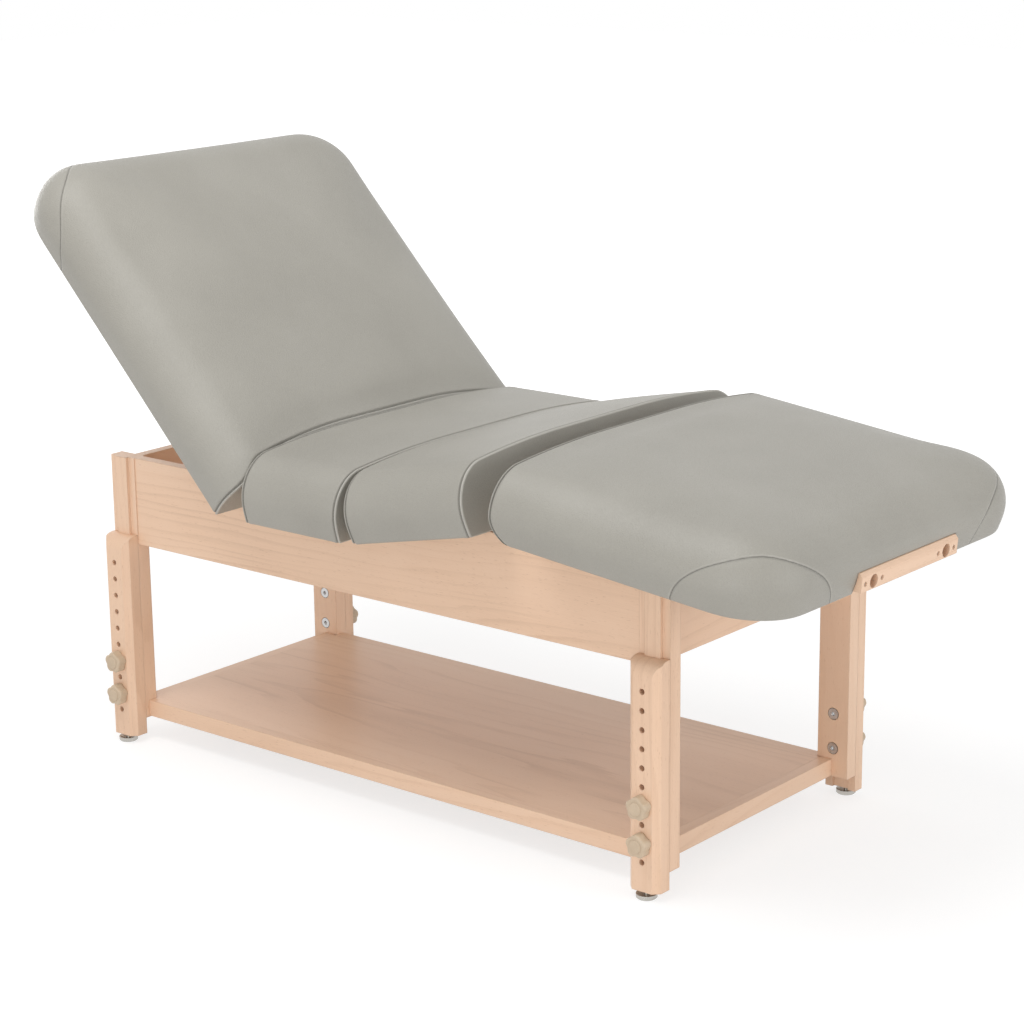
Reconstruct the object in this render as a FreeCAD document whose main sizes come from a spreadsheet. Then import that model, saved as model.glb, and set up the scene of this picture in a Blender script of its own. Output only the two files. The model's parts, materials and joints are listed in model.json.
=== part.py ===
import FreeCAD, Part
import math
import os
import re

# Stationary massage table with a lift-back and knee-lift top on a four-legged maple base.
# Millimetres, +Z up, floor at z = 0. X runs along the table with the head at -X, Y across it.

doc = FreeCAD.newDocument("massage_table")
sheet = doc.addObject("Spreadsheet::Sheet", "dims")

# Driving dimensions: name, value, meaning. Positions along X count from the middle of the base.
sizes = [
    ("base_x", -77.9, "middle of the base, from the origin"),
    ("hole_pitch", 31.75, "step of the height holes"),
    ("hole_rows", 10, "holes in each sliding leg"),
    ("hole_radius", 5.0, "height holes"),
    ("hole_top", 350.0, "highest height hole above the floor"),
    ("upper_row", 6, "hole row of the upper bolt, counted from the top hole"),
    ("lower_row", 8, "hole row of the lower bolt"),
    ("leg_column", 608.0, "hole columns, either way from the middle"),
    ("leg_outer", 308.5, "outer faces of the sliding legs"),
    ("leg_foot", 14.0, "lower ends of the sliding legs"),
    ("leg_head", 400.0, "upper ends of the sliding legs"),
    ("leg_round", 27.0, "round over the top of a sliding leg"),
    ("leg_bevel", 11.0, "bevels along the outer edges of a sliding leg"),
    ("slide_gap", 0.3, "clearance of the sliding legs on the posts"),
    ("post_wide", 61.0, "posts and legs along X"),
    ("post_thick", 27.0, "posts across, without the tongue"),
    ("post_inner", 248.0, "inner faces of the posts"),
    ("post_foot", 44.0, "lower ends of the posts"),
    ("tongue_wide", 31.0, "guide tongue on a post"),
    ("tongue_proud", 6.0, "how far the tongue stands out"),
    ("deck", 546.0, "top of the aprons and posts"),
    ("apron_bottom", 382.5, "lower edges of the aprons"),
    ("apron_thick", 21.0, "apron boards"),
    ("apron_setback", 2.0, "side aprons behind the outer faces of the posts"),
    ("end_apron_setback", 35.0, "end aprons behind the end faces of the posts"),
    ("shelf_bottom", 46.0, "underside of the shelf rails"),
    ("shelf_rail_deep", 30.5, "height of the shelf rails"),
    ("shelf_rail_thick", 22.0, "thickness of the shelf rails"),
    ("shelf_setback", 9.0, "side shelf rails behind the outer faces of the posts"),
    ("shelf_end_setback", 31.0, "end shelf rails behind the end faces of the posts"),
    ("shelf_board", 18.0, "thickness of the shelf board"),
    ("rail_thick", 22.0, "cross rails that carry the hinges"),
    ("rail_deep", 100.0, "depth of the cross rails"),
    ("rail_drop", 6.0, "tops of the cross rails below the deck"),
    ("bolt_radius", 4.85, "height bolts"),
    ("bolt_head_radius", 10.0, "heads of the height bolts"),
    ("bolt_head", 7.0, "thickness of a bolt head"),
    ("socket_radius", 4.2, "hexagon socket in a bolt head, across its corners"),
    ("socket_deep", 4.0, "depth of the hexagon socket"),
    ("counterbore_gap", 1.0, "room round a bolt head"),
    ("knob_radius", 20.0, "star knobs over the lobes"),
    ("knob_thick", 18.0, "star knobs without the cap"),
    ("knob_cap_radius", 9.5, "round cap on a knob"),
    ("knob_cap", 3.0, "how far the cap stands out"),
    ("knob_lobes", 5, "lobes of a star knob"),
    ("scallop_radius", 8.0, "hollows between the lobes"),
    ("knob_grip", 13.0, "length of bolt inside a knob"),
    ("running_gap", 0.05, "radial clearance of turning fits"),
    ("glide_radius", 17.5, "foot glides"),
    ("glide_thick", 8.0, "thickness of a glide disc"),
    ("glide_edge", 2.0, "chamfer round the sole of a glide"),
    ("stem_radius", 4.0, "stem of a glide"),
    ("stem_seat", 24.0, "depth of the stem in the leg"),
    ("half_width", 389.0, "cushions at their widest, from the middle"),
    ("skirt_drop", 37.0, "edge roll of the cushions below the deck"),
    ("stack", 94.6, "top of the crown above the deck"),
    ("belly", 45.0, "height of the widest line above the edge roll's sole"),
    ("shoulder", 75.0, "round from the side to the crown"),
    ("sole_inset", 10.0, "drawn-in foot of the sides"),
    ("crown_flat", 100.0, "half width of the level middle of the crown"),
    ("corner_radius", 110.0, "plan corners at the head and foot ends"),
    ("corner_least", 26.0, "smallest plan corner up on the crown"),
    ("straddle", 290.0, "half width of the underside between the edge rolls"),
    ("straddle_end", 655.0, "reach of that underside past the base, from the middle"),
    ("panel_thick", 16.0, "plywood panels"),
    ("panel_margin", 58.0, "panels inside the cushions' outline"),
    ("panel_end", 8.0, "panels short of the cushions' flat ends"),
    ("rest_gap", 1.0, "moving panels above the deck when flat"),
    ("seat_head", -185.0, "head end of the seat"),
    ("seat_length", 220.0, "seat along X"),
    ("back_gap", 8.0, "gap between back and seat when flat"),
    ("back_length", 718.0, "back section along X"),
    ("thigh_gap", 7.0, "gap between seat and thigh section when flat"),
    ("thigh_length", 263.0, "thigh section along X"),
    ("knee_gap", 10.0, "gap between thigh and leg section when flat"),
    ("calf_length", 535.0, "leg section along X"),
    ("back_tilt", 46.5, "back section above level, degrees"),
    ("back_reach", 57.0, "steepest back section above level, degrees"),
    ("thigh_tilt", 12.0, "thigh section above level, degrees"),
    ("thigh_reach", 18.0, "steepest thigh section above level, degrees"),
    ("calf_tilt", 5.6, "leg section below level, degrees"),
    ("back_pivot_back", 39.0, "back hinge headward of the seat's end"),
    ("back_pivot_drop", 54.0, "back hinge below the crown"),
    ("relief_gap", 4.5, "room between the seat and the back at its steepest"),
    ("thigh_pivot_drop", 22.0, "thigh hinge below the crown"),
    ("thigh_round", 8.0, "round over the head end of the thigh cushion"),
    ("heel_round", 46.0, "round under the head end of the leg cushion"),
    ("knee_pivot_drop", 131.0, "knee hinge below the deck"),
    ("hinge_y", 130.0, "hinges either side of the middle"),
    ("hinge_round", 9.0, "eye of a hinge plate"),
    ("hinge_pin", 4.0, "radius of the hinge pins"),
    ("tower_thick", 8.0, "hinge towers"),
    ("ear_thick", 5.0, "hinge ears"),
    ("ear_reach", 36.0, "hinge ears along the panel past the eye"),
    ("side_gap", 0.5, "gap between hinge plates"),
    ("flange_long", 60.0, "foot of a hinge tower across"),
    ("flange_thick", 5.0, "foot of a hinge tower"),
    ("pocket_gap", 2.0, "room round the hinges in the cushions"),
    ("knee_y", 150.0, "knee arms either side of the middle"),
    ("knee_arm_thick", 6.0, "knee arms"),
    ("knee_arm_wide", 58.0, "knee arms along X"),
    ("knee_round", 14.0, "eye of a knee arm"),
    ("knee_pin", 5.0, "radius of the knee pins"),
    ("prop_length", 175.0, "back prop, and its pivot's distance from the back hinge"),
    ("prop_angle", 19.0, "prop pivot below the back hinge when flat, degrees"),
    ("guide_slope", 26.0, "prop guides below level, degrees"),
    ("guide_thick", 10.0, "prop guide plates"),
    ("guide_half", 20.0, "half height of a guide plate"),
    ("prop_bar", 8.0, "radius of the prop's foot bar"),
    ("bar_gap", 0.35, "clearance of the foot bar in its guides"),
    ("bar_end_gap", 2.5, "foot bar short of the aprons"),
    ("prop_y", 205.0, "prop arms either side of the middle"),
    ("prop_arm_thick", 12.0, "prop arms across"),
    ("prop_round", 12.0, "half width of a prop arm"),
    ("prop_pin", 5.0, "radius of the prop's pivot pins"),
    ("bracket_thick", 5.0, "cheeks of the prop brackets"),
    ("bracket_round", 11.0, "eye of a prop bracket"),
    ("bearer_x", 560.0, "foot bearer from the middle"),
    ("bearer_radius", 12.0, "foot bearer"),
    ("bearer_drop", 16.0, "axis of the foot bearer below the deck"),
    ("runner_gap", 0.4, "leg runners clear of the bearer"),
    ("runner_y", 100.0, "leg runners either side of the middle"),
    ("runner_thick", 20.0, "leg runners across"),
    ("runner_nose", 16.0, "width of a runner's lower tip"),
    ("outlet_length", 287.0, "face-rest bar across"),
    ("outlet_deep", 90.0, "face-rest bar along X"),
    ("outlet_high", 31.0, "height of the face-rest bar"),
    ("outlet_bevel", 6.0, "bevel along the bar's upper edge"),
    ("outlet_proud", 6.0, "bar in front of the cushion's end"),
    ("outlet_gap", 1.0, "room round the bar in the cushion"),
    ("outlet_spacing", 216.0, "distance between the face-rest sockets"),
    ("outlet_bore", 11.1, "radius of the face-rest sockets"),
    ("outlet_bore_deep", 80.0, "depth of the face-rest sockets"),
    ("screw_radius", 4.0, "screw heads in the bar"),
    ("screw_length", 60.0, "length of the bar's screws"),
    ("screw_sunk", 3.0, "screw heads below the bar's face"),
    ("screw_outer", 132.0, "outer pair of screws from the middle"),
    ("screw_inner", 84.0, "inner pair of screws from the middle"),
]
for row, (alias, number, meaning) in enumerate(sizes, start=1):
    sheet.set("A%d" % row, meaning)
    sheet.set("B%d" % row, str(number))
    sheet.setAlias("B%d" % row, alias)
doc.recompute()

nodes = {}


def size(alias):
    return float(getattr(sheet, alias))


def bind(piece, prop, formula):
    words = re.compile(r"\b[a-z]\w*\b(?!\()")
    piece.setExpression(prop, words.sub(lambda word: "dims." + word.group(0), formula))


def place(piece, corner):
    for axis, formula in zip("xyz", corner):
        bind(piece, "Placement.Base." + axis, formula)


def block(corner, extent):
    piece = doc.addObject("Part::Box", "block")
    for prop, formula in zip(("Length", "Width", "Height"), extent):
        bind(piece, prop, formula)
    place(piece, corner)
    return piece


def rod(axis, start, radius, length):
    piece = doc.addObject("Part::Cylinder", "rod")
    bind(piece, "Radius", radius)
    bind(piece, "Height", length)
    turns = {"x": ((0, 1, 0), 90), "y": ((1, 0, 0), -90), "z": ((0, 0, 1), 0)}
    direction, angle = turns[axis]
    piece.Placement.Rotation = FreeCAD.Rotation(FreeCAD.Vector(*direction), angle)
    place(piece, start)
    return piece


def joined(pieces):
    whole = doc.addObject("Part::MultiFuse", "joined")
    whole.Shapes = pieces
    whole.Refine = True
    return whole


def group(pieces):
    whole = doc.addObject("Part::Compound", "group")
    whole.Links = pieces
    return whole


def cut(base, tools):
    rest = doc.addObject("Part::Cut", "cut")
    rest.Base = base
    rest.Tool = tools[0] if len(tools) == 1 else joined(tools)
    return rest


def node(name, piece):
    piece.Label = name
    nodes[name] = piece
    return piece


# Turns a piece about Y and carries the pivot point to its target, both as (x, z) formulas.
def turn(piece, angle, pivot, target):
    piece.Placement.Rotation = FreeCAD.Rotation(FreeCAD.Vector(0, 1, 0), 1.0)
    bind(piece, "Placement.Rotation.Angle", angle)
    along = "({0}) - ({2}) * cos({4}) - ({3}) * sin({4})"
    above = "({1}) + ({2}) * sin({4}) - ({3}) * cos({4})"
    terms = (target[0], target[1], pivot[0], pivot[1], "(" + angle + ")")
    bind(piece, "Placement.Base.x", along.format(*terms))
    bind(piece, "Placement.Base.z", above.format(*terms))


top = "deck + stack"
back_pivot = ("base_x + seat_head - back_pivot_back", top + " - back_pivot_drop")
thigh_pivot = ("base_x + seat_head + seat_length + thigh_gap / 2", top + " - thigh_pivot_drop")
knee_run = "(thigh_gap / 2 + thigh_length + knee_gap / 2)"
knee_fall = "(stack - thigh_pivot_drop + knee_pivot_drop)"
knee = (thigh_pivot[0] + " + " + knee_run, "deck - knee_pivot_drop")
knee_now = (
    thigh_pivot[0] + " + " + knee_run + " * cos(thigh_tilt) + " + knee_fall + " * sin(thigh_tilt)",
    thigh_pivot[1] + " + " + knee_run + " * sin(thigh_tilt) - " + knee_fall + " * cos(thigh_tilt)",
)
prop_now = (
    back_pivot[0] + " - prop_length * cos(prop_angle - back_tilt)",
    back_pivot[1] + " - prop_length * sin(prop_angle - back_tilt)",
)


def turn_back(piece):
    turn(piece, "back_tilt", back_pivot, back_pivot)


def turn_thigh(piece):
    turn(piece, "-thigh_tilt", thigh_pivot, thigh_pivot)


def turn_calf(piece):
    turn(piece, "calf_tilt", knee, knee_now)


def turn_prop(piece):
    turn(piece, "prop_angle - back_tilt - 2 * guide_slope", ("0", "0"), prop_now)


# Runs a box from y to the mirrored place when the piece is on the far side.
def across(side, near, thick):
    return "-(" + near + ") - (" + thick + ")" if side < 0 else near


corners = [("head_near", -1, -1), ("head_far", -1, 1), ("foot_near", 1, -1), ("foot_far", 1, 1)]
post_outer = "post_inner + post_thick"
bolt_rows = ("upper", "lower")


def column(end):
    return "base_x + leg_column" if end > 0 else "base_x - leg_column"


def row_height(row):
    return "hole_top - " + row + "_row * hole_pitch"


# Posts with their guide tongues and the counterbored holes for the height bolts
def post(name, end, side):
    left = column(end) + " - post_wide / 2"
    tall = "deck - post_foot"
    plank_start = across(side, "post_inner", "post_thick")
    plank = block((left, plank_start, "post_foot"), ("post_wide", "post_thick", tall))
    tongue_left = column(end) + " - tongue_wide / 2"
    tongue_start = across(side, post_outer, "tongue_proud")
    tongue = block((tongue_left, tongue_start, "post_foot"), ("tongue_wide", "tongue_proud", tall))
    through = "post_thick + tongue_proud"
    drilled = []
    for row in bolt_rows:
        spot = (column(end), across(side, "post_inner", through), row_height(row))
        drilled.append(rod("y", spot, "hole_radius", through))
        seat = (column(end), across(side, "post_inner", "bolt_head"), row_height(row))
        drilled.append(rod("y", seat, "bolt_head_radius + counterbore_gap", "bolt_head"))
    node(name + "_post", cut(joined([plank, tongue]), drilled))


# Sliding legs: grooved over the tongue, drilled for the bolts, bevelled and rounded outside
def sliding_leg(name, end, side):
    left = column(end) + " - post_wide / 2"
    inner = post_outer + " + slide_gap"
    thick = "leg_outer - post_inner - post_thick - slide_gap"
    tall = "leg_head - leg_foot"
    plank = block((left, across(side, inner, thick), "leg_foot"), ("post_wide", thick, tall))
    crest_y = "leg_outer - leg_round" if side > 0 else "leg_round - leg_outer"
    crest = rod("x", (left, crest_y, "leg_head - leg_round"), "leg_round", "post_wide")
    corner = block((left, across(side, "leg_outer - leg_round", "leg_round"), "leg_head - leg_round"),
                   ("post_wide", "leg_round", "leg_round"))
    groove_left = column(end) + " - tongue_wide / 2 - slide_gap"
    groove = block((groove_left, across(side, post_outer, "tongue_proud + slide_gap"), "leg_foot"),
                   ("tongue_wide + 2 * slide_gap", "tongue_proud + slide_gap", tall))
    removed = [groove, cut(corner, [crest])]
    for row in range(int(size("hole_rows"))):
        height = "hole_top - %d * hole_pitch" % row
        removed.append(rod("y", (column(end), across(side, inner, thick), height), "hole_radius", thick))
    bevel_y = ("-leg_outer" if side < 0 else "leg_outer") + " - leg_bevel"
    for edge in (" - post_wide / 2", " + post_wide / 2"):
        bevel = block((column(end) + edge, bevel_y, "leg_foot"),
                      ("leg_bevel * sqrt(2)", "leg_bevel * sqrt(2)", tall))
        bevel.Placement.Rotation = FreeCAD.Rotation(FreeCAD.Vector(0, 0, 1), 45)
        removed.append(bevel)
    stem_y = glide_line if side > 0 else "-(" + glide_line + ")"
    removed.append(rod("z", (column(end), stem_y, "leg_foot"), "stem_radius + running_gap", "stem_seat"))
    node(name + "_leg", cut(plank, removed))


glide_line = "(leg_outer + post_inner + post_thick + tongue_proud + slide_gap) / 2"


# Foot glides that turn on a stem in the end of the leg
def glide(name, end, side):
    middle = (column(end), glide_line if side > 0 else "-(" + glide_line + ")")
    sole = doc.addObject("Part::Cone", "sole")
    bind(sole, "Radius1", "glide_radius - glide_edge")
    bind(sole, "Radius2", "glide_radius")
    bind(sole, "Height", "glide_edge")
    place(sole, (middle[0], middle[1], "0"))
    disc = rod("z", (middle[0], middle[1], "glide_edge"), "glide_radius", "glide_thick - glide_edge")
    stem = rod("z", (middle[0], middle[1], "glide_thick"), "stem_radius",
               "leg_foot + stem_seat - glide_thick - 2 * running_gap")
    node(name + "_glide", joined([sole, disc, stem]))


# Height bolts: socket heads inside the posts, shanks out through the legs into the knobs
def height_bolts():
    bolts = []
    for name, end, side in corners:
        for row in bolt_rows:
            head_at = across(side, "post_inner", "bolt_head")
            head = rod("y", (column(end), head_at, row_height(row)), "bolt_head_radius", "bolt_head")
            reach = "leg_outer + slide_gap + knob_grip - post_inner - bolt_head"
            shank_at = across(side, "post_inner + bolt_head", reach)
            shank = rod("y", (column(end), shank_at, row_height(row)), "bolt_radius", reach)
            socket = doc.addObject("Part::Prism", "socket")
            socket.Polygon = 6
            bind(socket, "Circumradius", "socket_radius")
            bind(socket, "Height", "socket_deep")
            socket.Placement.Rotation = FreeCAD.Rotation(FreeCAD.Vector(1, 0, 0), -90)
            place(socket, (column(end), across(side, "post_inner", "socket_deep"), row_height(row)))
            bolts.append(cut(joined([head, shank]), [socket]))
    node("height_bolts", group(bolts))


# Star knob on an axis along Y: face is where its seat lies, side the way its cap points
def star_knob(name, x, face, z, side, pin, grip):
    body = rod("y", (x, across(side, face, "knob_thick"), z), "knob_radius", "knob_thick")
    cap = rod("y", (x, across(side, face + " + knob_thick", "knob_cap"), z), "knob_cap_radius", "knob_cap")
    bore_deep = grip + " + running_gap"
    removed = [rod("y", (x, across(side, face, bore_deep), z), pin + " + running_gap", bore_deep)]
    lobes = int(size("knob_lobes"))
    ring = "(knob_radius + scallop_radius * 0.45)"
    for lobe in range(lobes):
        angle = 360.0 * (lobe + 0.5) / lobes + 90
        spot_x = "%s + %s * cos(%.4f)" % (x, ring, angle)
        spot_z = "%s + %s * sin(%.4f)" % (z, ring, angle)
        spot = (spot_x, across(side, face, "knob_thick"), spot_z)
        removed.append(rod("y", spot, "scallop_radius", "knob_thick"))
    return node(name, cut(joined([body, cap]), removed))


for corner_name, corner_end, corner_side in corners:
    post(corner_name, corner_end, corner_side)
    sliding_leg(corner_name, corner_end, corner_side)
    glide(corner_name, corner_end, corner_side)
    for bolt_row in bolt_rows:
        star_knob(corner_name + "_" + bolt_row + "_knob", column(corner_end), "leg_outer + slide_gap",
                  row_height(bolt_row), corner_side, "bolt_radius", "knob_grip")
height_bolts()

# Aprons, cross rails and the round foot bearer of the base
inner_length = "2 * leg_column - post_wide"
base_start = "base_x - leg_column + post_wide / 2"
apron_outer = post_outer + " - apron_setback"
apron_inner = apron_outer + " - apron_thick"
apron_deep = "deck - apron_bottom"
for apron_name, apron_side in (("near_apron", -1), ("far_apron", 1)):
    node(apron_name, block((base_start, across(apron_side, apron_inner, "apron_thick"), "apron_bottom"),
                           (inner_length, "apron_thick", apron_deep)))
end_face = "leg_column + post_wide / 2 - end_apron_setback"
node("head_apron", block(("base_x - (" + end_face + ")", "-post_inner", "apron_bottom"),
                         ("apron_thick", "2 * post_inner", apron_deep)))
node("foot_apron", block(("base_x + " + end_face + " - apron_thick", "-post_inner", "apron_bottom"),
                         ("apron_thick", "2 * post_inner", apron_deep)))
span = "2 * (" + apron_inner + ")"
span_start = "-(" + apron_inner + ")"
for rail_name, rail_x in (("back_cross_rail", back_pivot[0]), ("thigh_cross_rail", thigh_pivot[0])):
    node(rail_name, block((rail_x + " - rail_thick / 2", span_start, "deck - rail_drop - rail_deep"),
                          ("rail_thick", span, "rail_deep")))
bearer_start = ("base_x + bearer_x", span_start, "deck - bearer_drop")
node("foot_bearer", rod("y", bearer_start, "bearer_radius", span))

# Shelf board inside its four edge rails
shelf_top = "shelf_bottom + shelf_rail_deep"
shelf_outer = post_outer + " - shelf_setback"
shelf_inner = shelf_outer + " - shelf_rail_thick"
for rail_name, rail_side in (("shelf_near_rail", -1), ("shelf_far_rail", 1)):
    node(rail_name, block((base_start, across(rail_side, shelf_inner, "shelf_rail_thick"), "shelf_bottom"),
                          (inner_length, "shelf_rail_thick", "shelf_rail_deep")))
shelf_end = "leg_column + post_wide / 2 - shelf_end_setback"
node("shelf_head_rail", block(("base_x - (" + shelf_end + ")", "-post_inner", "shelf_bottom"),
                              ("shelf_rail_thick", "2 * post_inner", "shelf_rail_deep")))
board_half = "(" + shelf_end + " - shelf_rail_thick)"
node("shelf_foot_rail", block(("base_x + " + board_half, "-post_inner", "shelf_bottom"),
                              ("shelf_rail_thick", "2 * post_inner", "shelf_rail_deep")))
board_corner = ("base_x - " + board_half, "-(" + shelf_inner + ")", shelf_top + " - shelf_board")
node("shelf_board", block(board_corner, ("2 * " + board_half, "2 * (" + shelf_inner + ")", "shelf_board")))


# Half section of a cushion as heights above the sole with insets from the widest line:
# straight drawn-in side, round shoulder, then a parabola up to the middle of the crown
def side_profile():
    belly = size("belly")
    shoulder = size("shoulder")
    rows = [(0.0, size("sole_inset")), (belly, 0.0)]
    for degrees in (15.0, 30.0, 45.0, 60.0, 75.0):
        angle = math.radians(degrees)
        rows.append((belly + shoulder * math.sin(angle), shoulder * (1.0 - math.cos(angle))))
    height, inset = rows[-1]
    rise = size("skirt_drop") + size("stack") - height
    reach = size("half_width") - size("crown_flat") - inset
    for share in (0.15, 0.35, 0.6, 1.0):
        rows.append((height + rise * (1.0 - (1.0 - share) ** 2), inset + reach * share))
    return rows


# Plan outline of a cushion at one height: flat at the near end, round corners at the far end
def plan_outline(flat_x, end_x, inset, height, rounded):
    half = size("half_width") - inset
    way = 1.0 if end_x > flat_x else -1.0
    tip = end_x - way * inset if rounded else end_x
    level = FreeCAD.Vector(0, 0, height)
    if not rounded:
        points = [(flat_x, -half), (tip, -half), (tip, half), (flat_x, half)]
        vectors = [FreeCAD.Vector(x, y, 0) + level for x, y in points]
        return Part.makePolygon(vectors + vectors[:1])
    radius = max(size("corner_radius") - inset, size("corner_least"))
    bend = radius * (1.0 - math.sqrt(0.5))
    shoulder_x = tip - way * radius
    bend_x = tip - way * bend
    points = [(flat_x, -half), (shoulder_x, -half), (bend_x, bend - half), (tip, radius - half),
              (tip, half - radius), (bend_x, half - bend), (shoulder_x, half), (flat_x, half)]
    spots = [FreeCAD.Vector(x, y, 0) + level for x, y in points]
    edges = [Part.LineSegment(spots[0], spots[1]).toShape(),
             Part.Arc(spots[1], spots[2], spots[3]).toShape(),
             Part.LineSegment(spots[3], spots[4]).toShape(),
             Part.Arc(spots[4], spots[5], spots[6]).toShape(),
             Part.LineSegment(spots[6], spots[7]).toShape(),
             Part.LineSegment(spots[7], spots[0]).toShape()]
    return Part.Wire(edges)


def cushion_form(name, flat_x, end_x, rounded):
    sole = size("deck") - size("skirt_drop")
    outlines = []
    for height, inset in side_profile():
        outlines.append(plan_outline(flat_x, end_x, inset, sole + height, rounded))
    form = doc.addObject("Part::Feature", name + "_form")
    form.Shape = Part.makeLoft(outlines, True, True)
    return form


panel_wide = "2 * (half_width - panel_margin)"
panel_y = "panel_margin - half_width"


# Room for the panel and, between the edge rolls, for the base under it
def underside(start, end, base_start_x, base_end_x, lift):
    pocket = block((start, panel_y, "deck"),
                   ("(" + end + ") - (" + start + ")", panel_wide, lift + " + panel_thick"))
    hollow_long = "(" + base_end_x + ") - (" + base_start_x + ")"
    hollow = block((base_start_x, "-straddle", "deck - 2 * skirt_drop"),
                   (hollow_long, "2 * straddle", "2 * skirt_drop + " + lift))
    return [pocket, hollow]


# Pockets round the two hinges in a cushion's end
def hinge_pockets(start, end, pivot):
    wide = "tower_thick + 2 * (side_gap + ear_thick + pocket_gap)"
    high = pivot[1] + " + hinge_round + pocket_gap - deck"
    pockets = []
    for middle in ("-hinge_y", "hinge_y"):
        pockets.append(block((start, middle + " - (" + wide + ") / 2", "deck"),
                             ("(" + end + ") - (" + start + ")", wide, high)))
    return pockets


# Square corner bar less a rod: what a round takes off the upper or lower edge of a head end
def edge_round(edge_x, corner_z, middle_z, radius):
    bar = block((edge_x, "-half_width", corner_z), (radius, "2 * half_width", radius))
    kept = rod("y", (edge_x + " + " + radius, "-half_width", middle_z), radius, "2 * half_width")
    return cut(bar, [kept])


seat_start = "base_x + seat_head"
seat_end = seat_start + " + seat_length"
back_end = seat_start + " - back_gap"
thigh_start = seat_end + " + thigh_gap"
thigh_end = thigh_start + " + thigh_length"
calf_start = thigh_end + " + knee_gap"
calf_end = calf_start + " + calf_length"
seat_from = size("base_x") + size("seat_head")
seat_to = seat_from + size("seat_length")
back_to = seat_from - size("back_gap")
thigh_from = seat_to + size("thigh_gap")
thigh_to = thigh_from + size("thigh_length")
calf_from = thigh_to + size("knee_gap")

# Seat: the fixed section
node("seat_panel", block((seat_start + " + panel_end", panel_y, "deck"),
                         ("seat_length - 2 * panel_end", panel_wide, "panel_thick")))
seat_room = underside(seat_start, seat_end, seat_start, seat_end, "0")
seat_room += hinge_pockets(thigh_pivot[0] + " - hinge_round - pocket_gap", seat_end, thigh_pivot)
node("seat_cushion", cut(cushion_form("seat", seat_from, seat_to, False), seat_room))


# Notches in a panel's end, as wide as the two ears and the tower between them
def panel_notches(start, end):
    wide = "tower_thick + 2 * (side_gap + ear_thick)"
    notches = []
    for middle in ("-hinge_y", "hinge_y"):
        notches.append(block((start, middle + " - (" + wide + ") / 2", "deck"),
                             ("(" + end + ") - (" + start + ")", wide, "rest_gap + panel_thick")))
    return notches


moving_base = "deck + rest_gap"

# Back section: its panel ends over the hinge axis, so that it swings clear of the base, and its
# cushion leaves room for the seat when the back stands at its steepest
back_tip = back_end + " - back_length"
back_board_long = back_pivot[0] + " - (" + back_tip + " + panel_margin)"
back_board = block((back_tip + " + panel_margin", panel_y, moving_base),
                   (back_board_long, panel_wide, "panel_thick"))
back_notches = panel_notches(back_pivot[0] + " - hinge_round - ear_reach - pocket_gap", back_end)
turn_back(node("back_panel", cut(back_board, back_notches)))
back_room = underside(back_tip + " + panel_margin", back_end, "base_x - straddle_end", back_end, "rest_gap")
back_room += hinge_pockets(back_pivot[0] + " - hinge_round - pocket_gap", back_end, back_pivot)
relief = group([block((seat_start + " - relief_gap", "-half_width", "deck - 2 * stack"),
                      ("2 * stack", "2 * half_width", "4 * stack"))])
turn(relief, "-back_reach", back_pivot, back_pivot)
back_room.append(relief)
back_form = cushion_form("back", back_to, back_to - size("back_length"), True)
turn_back(node("back_cushion", cut(back_form, back_room)))

# Thigh section
thigh_board = block((thigh_start + " + panel_end", panel_y, moving_base),
                    ("thigh_length - 2 * panel_end", panel_wide, "panel_thick"))
thigh_notches = panel_notches(thigh_start, thigh_pivot[0] + " + hinge_round + ear_reach + pocket_gap")
turn_thigh(node("thigh_panel", cut(thigh_board, thigh_notches)))
thigh_room = underside(thigh_start, thigh_end, thigh_start, thigh_end, "rest_gap")
thigh_room += hinge_pockets(thigh_start, thigh_pivot[0] + " + hinge_round + pocket_gap", thigh_pivot)
thigh_round_z = top + " - thigh_round"
thigh_room.append(edge_round(thigh_start, thigh_round_z, thigh_round_z, "thigh_round"))
turn_thigh(node("thigh_cushion", cut(cushion_form("thigh", thigh_from, thigh_to, False), thigh_room)))

# Leg section with the face-rest bar let into its foot end
calf_board = block((calf_start + " + panel_end", panel_y, moving_base),
                   ("calf_length - panel_end - panel_margin", panel_wide, "panel_thick"))
turn_calf(node("leg_panel", group([calf_board])))
calf_panel_end = calf_end + " - panel_margin"
calf_room = underside(calf_start, calf_panel_end, calf_start, "base_x + straddle_end", "rest_gap")
outlet_start = calf_end + " + outlet_proud - outlet_deep"
outlet_sole = moving_base + " - outlet_high"
niche_corner = (outlet_start + " - outlet_gap", "-outlet_length / 2 - outlet_gap", "deck - 2 * skirt_drop")
niche_high = "2 * skirt_drop + rest_gap + outlet_gap"
niche_wide = "outlet_length + 2 * outlet_gap"
calf_room.append(block(niche_corner, ("outlet_deep + outlet_gap", niche_wide, niche_high)))
calf_room.append(edge_round(calf_start, "deck - skirt_drop", "deck - skirt_drop + heel_round", "heel_round"))
calf_form = cushion_form("leg", calf_from, calf_from + size("calf_length"), True)
turn_calf(node("leg_cushion", cut(calf_form, calf_room)))

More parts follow.
